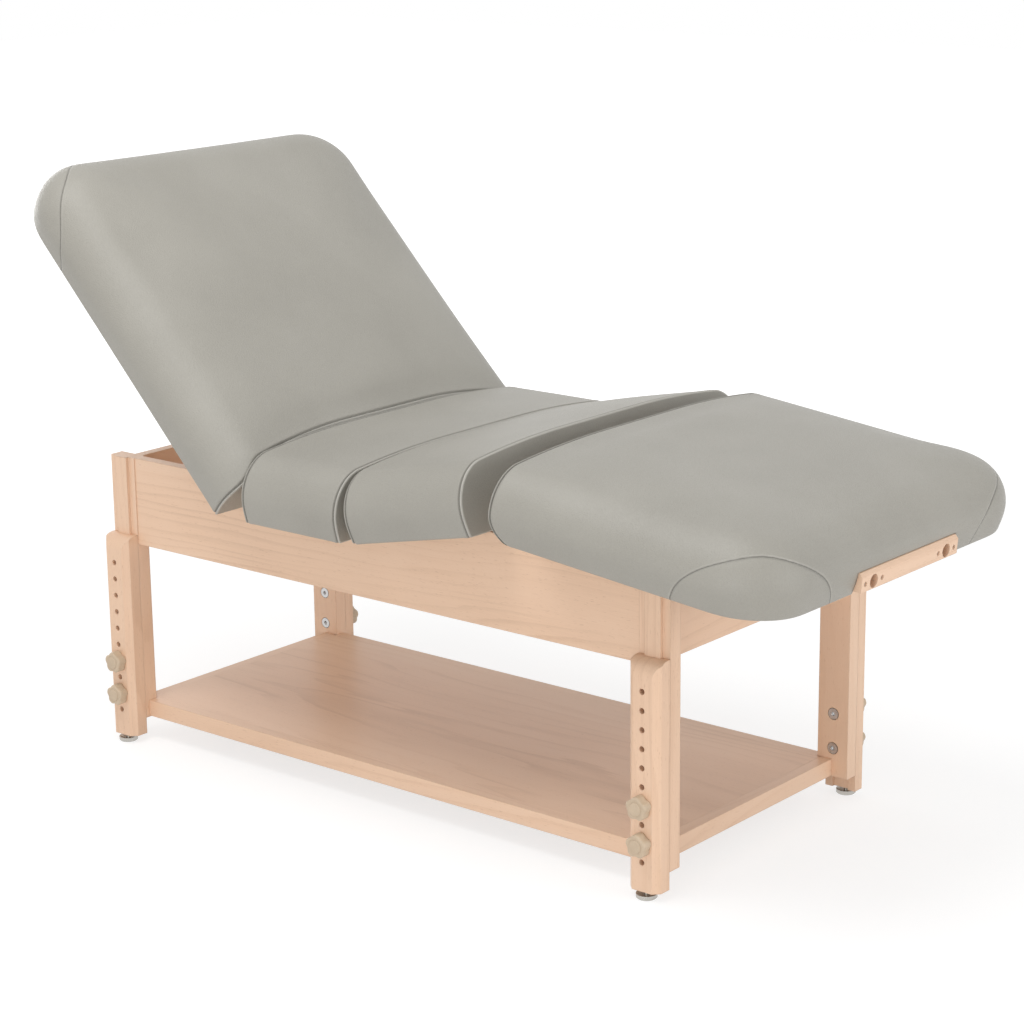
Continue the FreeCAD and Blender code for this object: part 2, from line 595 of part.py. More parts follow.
outlet_face = calf_end + " + outlet_proud"
outlet_bar = block((outlet_start, "-outlet_length / 2", outlet_sole),
                   ("outlet_deep", "outlet_length", "outlet_high"))
outlet_cuts = []
bevel_bar = block((outlet_face, "-outlet_length / 2", moving_base + " - outlet_bevel"),
                  ("outlet_bevel * sqrt(2)", "outlet_length", "outlet_bevel * sqrt(2)"))
bevel_bar.Placement.Rotation = FreeCAD.Rotation(FreeCAD.Vector(0, 1, 0), -45)
outlet_cuts.append(bevel_bar)
outlet_middle = outlet_sole + " + (outlet_high - outlet_bevel) / 2"
bore_floor = outlet_face + " - outlet_bore_deep"
for spot_y in ("-outlet_spacing / 2", "outlet_spacing / 2"):
    outlet_cuts.append(rod("x", (bore_floor, spot_y, outlet_middle), "outlet_bore", "outlet_bore_deep"))
screw_start = outlet_face + " - screw_sunk - screw_length"
screws = []
for spot_y in ("-screw_outer", "-screw_inner", "screw_inner", "screw_outer"):
    spot = (screw_start, spot_y, outlet_middle)
    outlet_cuts.append(rod("x", spot, "screw_radius + running_gap", "screw_length + screw_sunk"))
    screws.append(rod("x", spot, "screw_radius", "screw_length"))
turn_calf(node("face_rest_bar", cut(outlet_bar, outlet_cuts)))
turn_calf(node("bar_screws", group(screws)))


# One raised hinge: a tower on the cross rail, a pin through it and two ears on the moving panel.
# way is +1 where the moving section lies footward of the hinge.
def raised_hinge(name, pivot, way, turn_section):
    towers = []
    pins = []
    ears = []
    left = pivot[0] + " - hinge_round"
    rail_top = "deck - rail_drop"
    pin_length = "tower_thick + 2 * (side_gap + ear_thick)"
    for middle in ("-hinge_y", "hinge_y"):
        flange = block((pivot[0] + " - rail_thick / 2", middle + " - flange_long / 2", rail_top),
                       ("rail_thick", "flange_long", "flange_thick"))
        stem = block((left, middle + " - tower_thick / 2", rail_top),
                     ("2 * hinge_round", "tower_thick", pivot[1] + " - (" + rail_top + ")"))
        eye = rod("y", (pivot[0], middle + " - tower_thick / 2", pivot[1]), "hinge_round", "tower_thick")
        bore = rod("y", (pivot[0], middle + " - tower_thick / 2", pivot[1]), "hinge_pin", "tower_thick")
        towers.append(cut(joined([flange, stem, eye]), [bore]))
        pin_start = (pivot[0], middle + " - (" + pin_length + ") / 2", pivot[1])
        pins.append(rod("y", pin_start, "hinge_pin", pin_length))
        for side in (-1, 1):
            reach = "tower_thick / 2 + side_gap" if side > 0 else "-tower_thick / 2 - side_gap - ear_thick"
            ear_y = middle + " + " + reach
            foot_left = left if way > 0 else left + " - ear_reach"
            foot = block((foot_left, ear_y, moving_base),
                         ("2 * hinge_round + ear_reach", "ear_thick", "panel_thick"))
            riser = block((left, ear_y, moving_base),
                          ("2 * hinge_round", "ear_thick", pivot[1] + " - (" + moving_base + ")"))
            ear_eye = rod("y", (pivot[0], ear_y, pivot[1]), "hinge_round", "ear_thick")
            ear_bore = rod("y", (pivot[0], ear_y, pivot[1]), "hinge_pin + running_gap", "ear_thick")
            ears.append(cut(joined([foot, riser, ear_eye]), [ear_bore]))
    node(name + "_hinge_towers", group(towers))
    node(name + "_hinge_pins", group(pins))
    turn_section(node(name + "_hinge_ears", group(ears)))


raised_hinge("back", back_pivot, -1, turn_back)
raised_hinge("thigh", thigh_pivot, 1, turn_thigh)

# Knee hinge: arms that reach down from both panels to a pin inside the base, with lock knobs
thigh_arms = []
calf_arms = []
knee_pins = []
for arm_side in (-1, 1):
    arm_tall = "knee_pivot_drop - rail_drop"
    thigh_y = across(arm_side, "knee_y", "knee_arm_thick")
    calf_y = across(arm_side, "knee_y + knee_arm_thick + side_gap", "knee_arm_thick")
    arm_left = knee[0] + " + knee_round - knee_arm_wide"
    plate = block((arm_left, thigh_y, knee[1]), ("knee_arm_wide", "knee_arm_thick", arm_tall))
    thigh_seat_wide = "(" + thigh_end + " - panel_end) - (" + arm_left + ")"
    thigh_lip = block((arm_left, thigh_y, "deck - rail_drop"),
                      (thigh_seat_wide, "knee_arm_thick", "rail_drop + rest_gap"))
    eye = rod("y", (knee[0], thigh_y, knee[1]), "knee_round", "knee_arm_thick")
    thigh_bore = rod("y", (knee[0], thigh_y, knee[1]), "knee_pin", "knee_arm_thick")
    thigh_arms.append(cut(joined([plate, thigh_lip, eye]), [thigh_bore]))
    calf_left = knee[0] + " - knee_round"
    calf_plate = block((calf_left, calf_y, knee[1]), ("knee_arm_wide", "knee_arm_thick", arm_tall))
    lip_left = calf_start + " + panel_end"
    lip_wide = "(" + calf_left + " + knee_arm_wide) - (" + lip_left + ")"
    calf_lip = block((lip_left, calf_y, "deck - rail_drop"),
                     (lip_wide, "knee_arm_thick", "rail_drop + rest_gap"))
    calf_eye = rod("y", (knee[0], calf_y, knee[1]), "knee_round", "knee_arm_thick")
    calf_bore = rod("y", (knee[0], calf_y, knee[1]), "knee_pin + running_gap", "knee_arm_thick")
    calf_arms.append(cut(joined([calf_plate, calf_lip, calf_eye]), [calf_bore]))
    pin_reach = "2 * knee_arm_thick + 2 * side_gap + knob_grip"
    pin_y = across(arm_side, "knee_y - side_gap - knob_grip", pin_reach)
    knee_pins.append(rod("y", (knee[0], pin_y, knee[1]), "knee_pin", pin_reach))
    knob_name = "knee_near_knob" if arm_side < 0 else "knee_far_knob"
    knob_face = "side_gap - knee_y"
    turn_thigh(star_knob(knob_name, knee[0], knob_face, knee[1], -arm_side, "knee_pin", "knob_grip"))
turn_thigh(node("knee_thigh_arms", group(thigh_arms)))
turn_calf(node("knee_leg_arms", group(calf_arms)))
turn_thigh(node("knee_pins", group(knee_pins)))


# Where the foot bearer lies, seen from the leg section, with the thigh section at an angle
def bearer_from_calf(thigh_degrees):
    lift = math.radians(thigh_degrees)
    drop = math.radians(thigh_degrees * size("calf_tilt") / size("thigh_tilt"))
    pivot_x = seat_to + size("thigh_gap") / 2
    pivot_z = size("deck") + size("stack") - size("thigh_pivot_drop")
    run = size("thigh_gap") / 2 + size("thigh_length") + size("knee_gap") / 2
    fall = size("deck") - size("knee_pivot_drop") - pivot_z
    knee_x = pivot_x + run * math.cos(lift) - fall * math.sin(lift)
    knee_z = pivot_z + run * math.sin(lift) + fall * math.cos(lift)
    along = size("base_x") + size("bearer_x") - knee_x
    above = size("deck") - size("bearer_drop") - knee_z
    return FreeCAD.Vector(pivot_x + run + along * math.cos(drop) - above * math.sin(drop), 0,
                          pivot_z + fall + along * math.sin(drop) + above * math.cos(drop))


# Leg runners: their curved lower face keeps a running gap to the foot bearer all the way
def leg_runners():
    path = [bearer_from_calf(angle) for angle in (0.0, size("thigh_reach") / 2, size("thigh_reach"))]
    ring = Part.Circle(path[0], path[1], path[2])
    clear = size("bearer_radius") + size("runner_gap")
    rim = []
    for spot in path:
        outward = (spot - ring.Center).normalize()
        if outward.z < 0:
            outward = outward * -1.0
        rim.append(spot + outward * clear)
    seat_z = size("deck") + size("rest_gap")
    lead = (rim[0] - rim[1]).normalize()
    upper = rim[0] + lead * ((seat_z - rim[0].z) / lead.z)
    tip = rim[2] - FreeCAD.Vector(size("runner_nose"), 0, 0)
    rear = FreeCAD.Vector(tip.x, 0, seat_z)
    edges = [Part.LineSegment(upper, rim[0]).toShape(), Part.Arc(rim[0], rim[1], rim[2]).toShape(),
             Part.LineSegment(rim[2], tip).toShape(), Part.LineSegment(tip, rear).toShape(),
             Part.LineSegment(rear, upper).toShape()]
    face = Part.Face(Part.Wire(edges))
    thick = FreeCAD.Vector(0, size("runner_thick"), 0)
    runners = []
    for start in (-size("runner_y") - size("runner_thick"), size("runner_y")):
        moved = face.copy()
        moved.translate(FreeCAD.Vector(0, start, 0))
        runner = doc.addObject("Part::Feature", "runner")
        runner.Shape = moved.extrude(thick)
        runners.append(runner)
    turn_calf(node("leg_runners", group(runners)))


leg_runners()

# Back prop: arms hung from brackets under the back panel, with a foot bar that slides in the guides
arms = []
for arm_side in (-1, 1):
    arm_y = across(arm_side, "prop_y", "prop_arm_thick")
    strap = block(("-prop_length", arm_y, "-prop_round"),
                  ("prop_length", "prop_arm_thick", "2 * prop_round"))
    ends = [rod("y", (spot, arm_y, "0"), "prop_round", "prop_arm_thick") for spot in ("-prop_length", "0")]
    bores = [rod("y", ("0", arm_y, "0"), "prop_pin + running_gap", "prop_arm_thick"),
             rod("y", ("-prop_length", arm_y, "0"), "prop_bar", "prop_arm_thick")]
    arms.append(cut(joined([strap] + ends), bores))
turn_prop(node("prop_arms", group(arms)))
bar_half = "(" + apron_inner + " - bar_end_gap)"
foot_bar = rod("y", ("-prop_length", "-" + bar_half, "0"), "prop_bar", "2 * " + bar_half)
turn_prop(node("prop_foot_bar", group([foot_bar])))

prop_flat = (
    back_pivot[0] + " - prop_length * cos(prop_angle)",
    back_pivot[1] + " - prop_length * sin(prop_angle)",
)
brackets = []
for arm_side in (-1, 1):
    cheeks = []
    cheek_tall = moving_base + " - (" + prop_flat[1] + ")"
    for cheek in ("prop_y - side_gap - bracket_thick", "prop_y + prop_arm_thick + side_gap"):
        cheek_y = across(arm_side, cheek, "bracket_thick")
        cheeks.append(block((prop_flat[0] + " - bracket_round", cheek_y, prop_flat[1]),
                            ("2 * bracket_round", "bracket_thick", cheek_tall)))
        cheeks.append(rod("y", (prop_flat[0], cheek_y, prop_flat[1]), "bracket_round", "bracket_thick"))
    pin_reach = "prop_arm_thick + 2 * side_gap"
    pin_y = across(arm_side, "prop_y - side_gap", pin_reach)
    cheeks.append(rod("y", (prop_flat[0], pin_y, prop_flat[1]), "prop_pin", pin_reach))
    brackets.append(joined(cheeks))
turn_back(node("prop_brackets", group(brackets)))

# Prop guides: slotted plates on the side aprons, on the line through the back hinge
guides = []
low_end = "2 * prop_length * cos(guide_slope - prop_angle)"
for guide_side in (-1, 1):
    guide_y = across(guide_side, apron_inner + " - guide_thick", "guide_thick")
    plate = block(("-(" + low_end + ") - guide_half", guide_y, "-guide_half"),
                  (low_end + " + guide_half", "guide_thick", "2 * guide_half"))
    slot = block(("-(" + low_end + ")", guide_y, "-prop_bar - bar_gap"),
                 (low_end, "guide_thick", "2 * (prop_bar + bar_gap)"))
    stop = rod("y", ("-(" + low_end + ")", guide_y, "0"), "prop_bar + bar_gap", "guide_thick")
    slotted = cut(plate, [slot, stop])
    turn(slotted, "-guide_slope", ("0", "0"), back_pivot)
    above = block((back_pivot[0] + " - 3 * prop_length", guide_y, "deck"),
                  ("4 * prop_length", "guide_thick", "prop_length"))
    guides.append(cut(slotted, [above]))
node("prop_guides", group(guides))

doc.recompute()

for piece in doc.Objects:
    if "Invalid" in piece.State or "Error" in piece.State:
        raise RuntimeError("failed object: %s (%s)" % (piece.Label, piece.State))
for name, piece in nodes.items():
    if piece.Shape.isNull() or not piece.Shape.isValid():
        raise RuntimeError("bad shape: " + name)
    if not piece.Shape.Solids:
        raise RuntimeError("no solid: " + name)

os.makedirs("parts", exist_ok=True)
for name, piece in nodes.items():
    piece.Shape.exportStep(os.path.join("parts", name + ".step"))
print("%d nodes written" % len(nodes))
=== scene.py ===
import json
import math

import bmesh
import bpy
import numpy as np
from mathutils import Matrix, Vector


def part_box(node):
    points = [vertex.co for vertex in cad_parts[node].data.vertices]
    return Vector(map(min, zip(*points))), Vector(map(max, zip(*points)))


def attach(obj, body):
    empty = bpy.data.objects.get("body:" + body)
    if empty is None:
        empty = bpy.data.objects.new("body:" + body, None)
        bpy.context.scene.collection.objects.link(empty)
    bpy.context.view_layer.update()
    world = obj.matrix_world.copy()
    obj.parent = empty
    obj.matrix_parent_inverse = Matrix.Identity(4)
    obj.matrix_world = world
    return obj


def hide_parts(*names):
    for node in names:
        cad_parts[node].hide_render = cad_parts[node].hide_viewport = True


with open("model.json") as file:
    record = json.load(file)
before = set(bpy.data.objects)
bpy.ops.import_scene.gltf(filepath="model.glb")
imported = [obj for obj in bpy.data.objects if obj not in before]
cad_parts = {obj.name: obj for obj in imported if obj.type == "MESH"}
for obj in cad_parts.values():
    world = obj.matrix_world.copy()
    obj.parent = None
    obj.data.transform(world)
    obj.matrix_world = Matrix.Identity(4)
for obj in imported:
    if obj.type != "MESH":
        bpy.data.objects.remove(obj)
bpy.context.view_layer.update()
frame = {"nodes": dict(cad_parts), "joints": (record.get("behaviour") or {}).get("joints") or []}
print("frame loaded:", len(frame["nodes"]), "nodes")

# Photograph's camera: focal length in pixels of a 1024 pixel frame, angles in degrees
photoView = {"focal": 2600.0, "pixels": 1024.0, "spot": (2.8342, -3.4013, 1.6616),
             "yaw": 39.649, "pitch": 14.816, "roll": -0.685, "sensor": 36.0, "clipEnd": 60.0}


# New object in the scene
def addObject(name, data):
    made = bpy.data.objects.new(name, data)
    bpy.context.collection.objects.link(made)
    return made


def addCamera():
    yaw, pitch, roll = (math.radians(photoView[key]) for key in ("yaw", "pitch", "roll"))
    forward = Vector((-math.sin(yaw) * math.cos(pitch), math.cos(yaw) * math.cos(pitch), -math.sin(pitch)))
    level = Vector((math.cos(yaw), math.sin(yaw), 0.0))
    upright = level.cross(forward)
    across = level * math.cos(roll) + upright * math.sin(roll)
    upward = upright * math.cos(roll) - level * math.sin(roll)
    data = bpy.data.cameras.new("photoCamera")
    data.sensor_width = photoView["sensor"]
    data.lens = photoView["sensor"] * photoView["focal"] / photoView["pixels"]
    data.clip_end = photoView["clipEnd"]
    camera = addObject("photoCamera", data)
    turn = Matrix((across, upward, -forward)).transposed().to_4x4()
    camera.matrix_world = Matrix.Translation(photoView["spot"]) @ turn
    bpy.context.scene.camera = camera


addCamera()


# Adds a node: sockets take constants or other nodes' outputs, props are plain settings
def put(tree, kind, sockets=None, **props):
    node = tree.nodes.new(kind)
    for key, value in props.items():
        setattr(node, key, value)
    for key, value in (sockets or {}).items():
        if isinstance(value, bpy.types.NodeSocket):
            tree.links.new(value, node.inputs[key])
        else:
            node.inputs[key].default_value = value
    return node


def math2(tree, operation, first, second=0.5, third=0.5):
    return put(tree, "ShaderNodeMath", {0: first, 1: second, 2: third}, operation=operation).outputs[0]


def vector2(tree, operation, first, second=(0.0, 0.0, 0.0), third=(0.0, 0.0, 0.0)):
    return put(tree, "ShaderNodeVectorMath", {0: first, 1: second, 2: third}, operation=operation).outputs


# Value carried from one range to another and held at its ends
def mapped(tree, value, source, target=(0.0, 1.0), **props):
    sockets = {"Value": value, "From Min": source[0], "From Max": source[1],
               "To Min": target[0], "To Max": target[1]}
    return put(tree, "ShaderNodeMapRange", sockets, **props).outputs[0]


def noise(tree, vector, scale, detail, roughness=0.5):
    sockets = {"Vector": vector, "Scale": scale, "Detail": detail, "Roughness": roughness}
    return put(tree, "ShaderNodeTexNoise", sockets).outputs


def blended(tree, factor, first, second):
    return put(tree, "ShaderNodeMix", {"Factor": factor, 6: first, 7: second}, data_type="RGBA").outputs[2]


def ramp(tree, factor, places, colours):
    node = put(tree, "ShaderNodeValToRGB", {"Fac": factor})
    marks = node.color_ramp.elements
    while len(marks) < len(places):
        marks.new(0.5)
    for mark, place, colour in zip(marks, places, colours):
        mark.position = place
        mark.color = (*colour, 1.0)
    return node.outputs["Color"]


def bumped(tree, strength, distance, height, **props):
    sockets = {"Strength": strength, "Distance": distance, "Height": height}
    return put(tree, "ShaderNodeBump", sockets, **props)


def objectPlace(tree):
    return tree.nodes.new("ShaderNodeTexCoord").outputs["Object"]


# Shader group with number sockets, and a vector socket where one is called Vector
def newGroup(name, inputs, outputs):
    tree = bpy.data.node_groups.new(name, "ShaderNodeTree")
    for way, labels in (("INPUT", inputs), ("OUTPUT", outputs)):
        for label in labels:
            kind = "NodeSocketVector" if label == "Vector" else "NodeSocketFloat"
            tree.interface.new_socket(label, in_out=way, socket_type=kind)
    return tree, tree.nodes.new("NodeGroupInput").outputs, tree.nodes.new("NodeGroupOutput")


def useGroup(tree, group, sockets):
    return put(tree, "ShaderNodeGroup", sockets, node_tree=group).outputs


# Joins outputs to a node's sockets by name
def connect(tree, node, links):
    for label, output in links.items():
        tree.links.new(output, node.inputs[label])


def newMaterial(name):
    material = bpy.data.materials.new(name)
    material.use_nodes = True
    tree = material.node_tree
    tree.nodes.clear()
    shader = tree.nodes.new("ShaderNodeBsdfPrincipled")
    put(tree, "ShaderNodeOutputMaterial", {"Surface": shader.outputs["BSDF"]})
    return material, tree, shader


# Maple figure along local X: how each noise is drawn out, and how much it counts
mapleFigure = {"sway": (1.3, 5.0, 5.0), "swayBy": (0.0, 0.075, 0.075), "pith": (0.0, 0.035, 0.120),
               "skew": (0.0, math.radians(2.0), math.radians(3.0)), "crosswise": (0.0, 1.0, 1.0),
               "uneven": (2.2, 30.0, 30.0), "unevenBy": 0.028, "rings": 62.0, "late": (0.45, 0.93),
               "patch": (1.9, 13.0, 13.0), "patchRange": (0.36, 0.66),
               "fibre": (14.0, 620.0, 620.0), "fibreBy": 0.22,
               "fleck": (85.0, 900.0, 900.0), "fleckRange": (0.66, 0.76), "fleckBy": 0.30,
               "broad": (1.6, 7.0, 7.0), "broadBy": 0.55}


# Growth rings about an axis under the board and a little askew to it, which come out as long arches,
# stronger in some places, then fine fibres, short brown flecks and a slow change of tone
def buildMapleGrain():
    m = mapleFigure
    tree, given, result = newGroup("mapleGrain", ("Vector", "Figure"), ("Tone", "Streak"))

    def drawnOut(scale, detail, roughness=0.5):
        return noise(tree, vector2(tree, "MULTIPLY", given["Vector"], scale)[0], 1.0, detail, roughness)

    bent = vector2(tree, "MULTIPLY_ADD", drawnOut(m["sway"], 2.0)["Color"], m["swayBy"], given["Vector"])[0]
    skew = put(tree, "ShaderNodeMapping", {"Vector": bent, "Location": m["pith"], "Rotation": m["skew"]})
    radius = vector2(tree, "LENGTH", vector2(tree, "MULTIPLY", skew.outputs[0], m["crosswise"])[0])["Value"]
    uneven = math2(tree, "MULTIPLY", drawnOut(m["uneven"], 2.0)["Fac"], m["unevenBy"])
    ring = math2(tree, "FRACT", math2(tree, "MULTIPLY", math2(tree, "ADD", radius, uneven), m["rings"]))
    swell = mapped(tree, ring, m["late"], interpolation_type="SMOOTHSTEP")
    drop = mapped(tree, ring, (m["late"][1], 1.0), (1.0, 0.0))
    patchy = mapped(tree, drawnOut(m["patch"], 1.0)["Fac"], m["patchRange"])
    shown = math2(tree, "MULTIPLY", patchy, given["Figure"])
    late = math2(tree, "MULTIPLY", math2(tree, "MULTIPLY", swell, drop), shown)
    streak = drawnOut(m["fibre"], 3.0, 0.6)["Fac"]
    fleck = mapped(tree, drawnOut(m["fleck"], 1.0)["Fac"], m["fleckRange"], (0.0, m["fleckBy"]))
    slow = math2(tree, "SUBTRACT", drawnOut(m["broad"], 3.0)["Fac"], 0.5)
    pale = math2(tree, "ADD", math2(tree, "MULTIPLY", slow, m["broadBy"]), 0.5)
    tone = math2(tree, "SUBTRACT", pale, math2(tree, "ADD", late, fleck))
    fibre = math2(tree, "MULTIPLY", math2(tree, "SUBTRACT", streak, 0.5), m["fibreBy"])
    connect(tree, result, {"Tone": math2(tree, "ADD", tone, fibre), "Streak": streak})
    return tree


mapleGrain = buildMapleGrain()

# Lacquered maple: grain turned along the board, colours from dark growth lines to pale wood
mapleFinish = {"colours": ((0.620, 0.392, 0.252), (0.812, 0.560, 0.392), (0.872, 0.636, 0.470)),
               "places": (0.05, 0.46, 0.80), "roughness": (0.35, 0.50), "coat": 0.12, "coatRoughness": 0.25,
               "bump": 0.10, "depth": 0.0006, "easedEdge": 0.0022}
grainTurn = {"x": (0.0, 0.0, 0.0), "y": (0.0, 0.0, math.radians(-90.0)), "z": (0.0, math.radians(90.0), 0.0)}


def mapleMaterial(name, along, figure=0.16, offset=(0.0, 0.0, 0.0)):
    m = mapleFinish
    material, tree, shader = newMaterial(name)
    sockets = {"Vector": objectPlace(tree), "Rotation": grainTurn[along], "Location": offset}
    turned = put(tree, "ShaderNodeMapping", sockets).outputs[0]
    grain = useGroup(tree, mapleGrain, {"Vector": turned, "Figure": figure})
    colour = ramp(tree, grain["Tone"], m["places"], m["colours"])
    gloss = mapped(tree, grain["Streak"], (0.0, 1.0), m["roughness"])
    edge = put(tree, "ShaderNodeBevel", {"Radius": m["easedEdge"]}, samples=6)
    bump = bumped(tree, m["bump"], m["depth"], grain["Streak"])
    connect(tree, bump, {"Normal": edge.outputs[0]})
    connect(tree, shader, {"Base Color": colour, "Roughness": gloss, "Normal": bump.outputs[0]})
    shader.inputs["Coat Weight"].default_value = m["coat"]
    shader.inputs["Coat Roughness"].default_value = m["coatRoughness"]
    return material


mapleLong = mapleMaterial("mapleAlongTable", "x")
mapleWide = mapleMaterial("mapleAcrossTable", "y")
mapleTall = mapleMaterial("mapleUpright", "z", 0.12)
mapleBoard = mapleMaterial("mapleShelfVeneer", "x", 0.22, (0.3, 0.0, 0.1))
mapleBar = mapleMaterial("mapleBar", "y", 0.15, (0.0, 0.7, 0.0))

vinylPebble = {"wobble": 420.0, "wobbleBy": (0.0012, 0.0012, 0.0012), "smooth": 0.6, "fine": 1500.0,
               "fineBy": 0.35, "coarse": 300.0, "coarseBy": 0.80, "level": 0.40, "broad": 5.0}


# Pebbled skin: rounded cells with creases between them, broken up by a coarser and a finer noise
def buildVinylGrain():
    p = vinylPebble
    tree, given, result = newGroup("vinylGrain", ("Vector", "Cells"), ("Height", "Tone"))
    vector = given["Vector"]
    wobble = noise(tree, vector, p["wobble"], 1.0)["Color"]
    shifted = vector2(tree, "MULTIPLY_ADD", wobble, p["wobbleBy"], vector)[0]
    sockets = {"Vector": shifted, "Scale": given["Cells"], "Smoothness": p["smooth"]}
    cells = put(tree, "ShaderNodeTexVoronoi", sockets, feature="SMOOTH_F1").outputs["Distance"]
    fine = math2(tree, "MULTIPLY", noise(tree, vector, p["fine"], 2.0)["Fac"], p["fineBy"])
    coarse = noise(tree, vector, p["coarse"], 2.0, 0.6)["Fac"]
    rough = math2(tree, "MULTIPLY_ADD", coarse, p["coarseBy"], fine)
    height = math2(tree, "SUBTRACT", math2(tree, "SUBTRACT", rough, p["level"]), cells)
    connect(tree, result, {"Height": height, "Tone": noise(tree, vector, p["broad"], 3.0)["Fac"]})
    return tree


# Widths of the crease line that carries painted shade and of the groove, and the length of the stitch dashes
seamShape = {"creaseShade": (0.0003, 0.0015), "groove": (0.0, 0.0034), "dash": 0.34}


# Sewn seam at a set distance: a narrow crease line that gets painted shade, a wider groove, and
# stitches as short dashes along the run
def buildSewnSeam():
    s = seamShape
    labels = ("Distance", "Run", "Place", "Pitch")
    tree, given, result = newGroup("sewnSeam", labels, ("CreaseShade", "Groove", "Stitch"))
    off = math2(tree, "ABSOLUTE", math2(tree, "SUBTRACT", given["Distance"], given["Place"]))
    creaseShade = mapped(tree, off, s["creaseShade"], (1.0, 0.0))
    groove = mapped(tree, off, s["groove"], (1.0, 0.0), interpolation_type="SMOOTHSTEP")
    step = math2(tree, "FRACT", math2(tree, "DIVIDE", given["Run"], given["Pitch"]))
    dash = math2(tree, "LESS_THAN", math2(tree, "ABSOLUTE", math2(tree, "SUBTRACT", step, 0.5)), s["dash"])
    stitch = math2(tree, "MULTIPLY", creaseShade, dash)
    connect(tree, result, {"CreaseShade": creaseShade, "Groove": groove, "Stitch": stitch})
    return tree


vinylGrain = buildVinylGrain()
sewnSeam = buildSewnSeam()
# The pale colour is a painted highlight on seam lips and folds; the near-black colour is painted shade in the seam
# line
vinylFinish = {"colours": ((0.320, 0.305, 0.268), (0.372, 0.356, 0.315)), "places": (0.10, 0.70),
               "pebbleShadeAndTone": 0.40, "paleHighlight": (0.505, 0.486, 0.438, 1.0), "creaseShade": (0.085, 0.082, 0.070, 1.0),
               "cells": 620.0, "heights": (-0.8, 0.2), "roughness": (0.50, 0.36), "specular": 0.50,
               "grain": 0.50, "grainDepth": 0.0008, "seam": 0.9, "seamDepth": 0.0016}
# Place of the end seam, pitch of the stitches, the painted highlight on the lip over the end's edge, the
# painted highlight on the fold beside a corner seam, the painted shade of the seam line, and how much each counts
vinylSeams = {"place": 0.0046, "pitch": 0.0055, "lipHighlightTop": (0.0022, 0.0034), "lipHighlightEnd": (-0.0014, -0.0006),
              "lipHighlightBy": 0.75, "foldHighlight": 0.0026, "foldHighlightWide": (0.0005, 0.0018), "foldHighlightBy": 0.45,
              "creaseShadeBy": 0.74, "stitchBy": 0.14}


def vinylMaterial():
    v, s = vinylFinish, vinylSeams
    material, tree, shader = newMaterial("greyVinyl")
    skin = useGroup(tree, vinylGrain, {"Vector": objectPlace(tree), "Cells": v["cells"]})
    endSeam, dartSeam, seamRun = (put(tree, "ShaderNodeAttribute", attribute_name=label).outputs["Fac"]
                                  for label in ("endSeam", "dartSeam", "seamRun"))
    sewn = {"Run": seamRun, "Pitch": s["pitch"]}
    edge = useGroup(tree, sewnSeam, {"Distance": endSeam, "Place": s["place"], **sewn})
    dart = useGroup(tree, sewnSeam, {"Distance": dartSeam, "Place": 0.0, **sewn})

    def either(label, share):
        return math2(tree, "MULTIPLY", math2(tree, "MAXIMUM", edge[label], dart[label]), share)

    # Colour follows the pebble height, darker in the hollows between cells: painted shade in the hollows, added to
    # a random tone
    pebbleShadeAndTone = math2(tree, "MULTIPLY_ADD", skin["Height"], v["pebbleShadeAndTone"], skin["Tone"])
    colour = ramp(tree, pebbleShadeAndTone, v["places"], v["colours"])
    # Painted highlight: a paler band on the bead over the end's edge
    lipHighlightTop = mapped(tree, endSeam, s["lipHighlightTop"], (s["lipHighlightBy"], 0.0))
    lipHighlightEnd = mapped(tree, endSeam, s["lipHighlightEnd"])
    # Painted highlight: a paler line on the fold beside a corner seam
    offFoldHighlight = math2(tree, "ABSOLUTE", math2(tree, "SUBTRACT", dartSeam, s["foldHighlight"]))
    foldHighlight = mapped(tree, offFoldHighlight, s["foldHighlightWide"], (s["foldHighlightBy"], 0.0))
    paleHighlight = math2(tree, "MAXIMUM", math2(tree, "MULTIPLY", lipHighlightTop, lipHighlightEnd), foldHighlight)
    # Painted shade: the seam's crease line is darkened, less where the stitch dashes lie
    dark = math2(tree, "SUBTRACT", either("CreaseShade", s["creaseShadeBy"]), either("Stitch", s["stitchBy"]))
    shaded = blended(tree, dark, blended(tree, paleHighlight, colour, v["paleHighlight"]), v["creaseShade"])
    gloss = mapped(tree, skin["Height"], v["heights"], v["roughness"])
    pebbles = bumped(tree, v["grain"], v["grainDepth"], skin["Height"])
    seams = bumped(tree, v["seam"], v["seamDepth"], either("Groove", 1.0), invert=True)
    connect(tree, seams, {"Normal": pebbles.outputs[0]})
    connect(tree, shader, {"Base Color": shaded, "Roughness": gloss, "Normal": seams.outputs[0]})
    shader.inputs["Specular IOR Level"].default_value = v["specular"]
    return material


greyVinyl = vinylMaterial()

# Plain finishes with a fine mottle: two colours, two roughnesses, metal or not, scale of the mottle and its bump
plainFinishes = {
    "beigePlastic": {"colours": ((0.545, 0.425, 0.300), (0.615, 0.490, 0.355)), "roughness": (0.40, 0.52),
                     "metallic": 0.0, "scale": 900.0, "bump": 0.15},
    "nickelPlate": {"colours": ((0.46, 0.445, 0.415), (0.56, 0.545, 0.51)), "roughness": (0.18, 0.30),
                    "metallic": 1.0, "scale": 700.0, "bump": 0.05},
    "zincSteel": {"colours": ((0.55, 0.55, 0.55), (0.66, 0.66, 0.66)), "roughness": (0.24, 0.38),
                  "metallic": 1.0, "scale": 800.0, "bump": 0.08},
    "blackPowderCoat": {"colours": ((0.018, 0.018, 0.020), (0.035, 0.035, 0.037)), "roughness": (0.45, 0.60),
                        "metallic": 0.0, "scale": 1800.0, "bump": 0.30}}
mottle = {"broad": 0.06, "share": 0.5, "places": (0.35, 0.65), "heights": (0.3, 0.7), "depth": 0.0004}


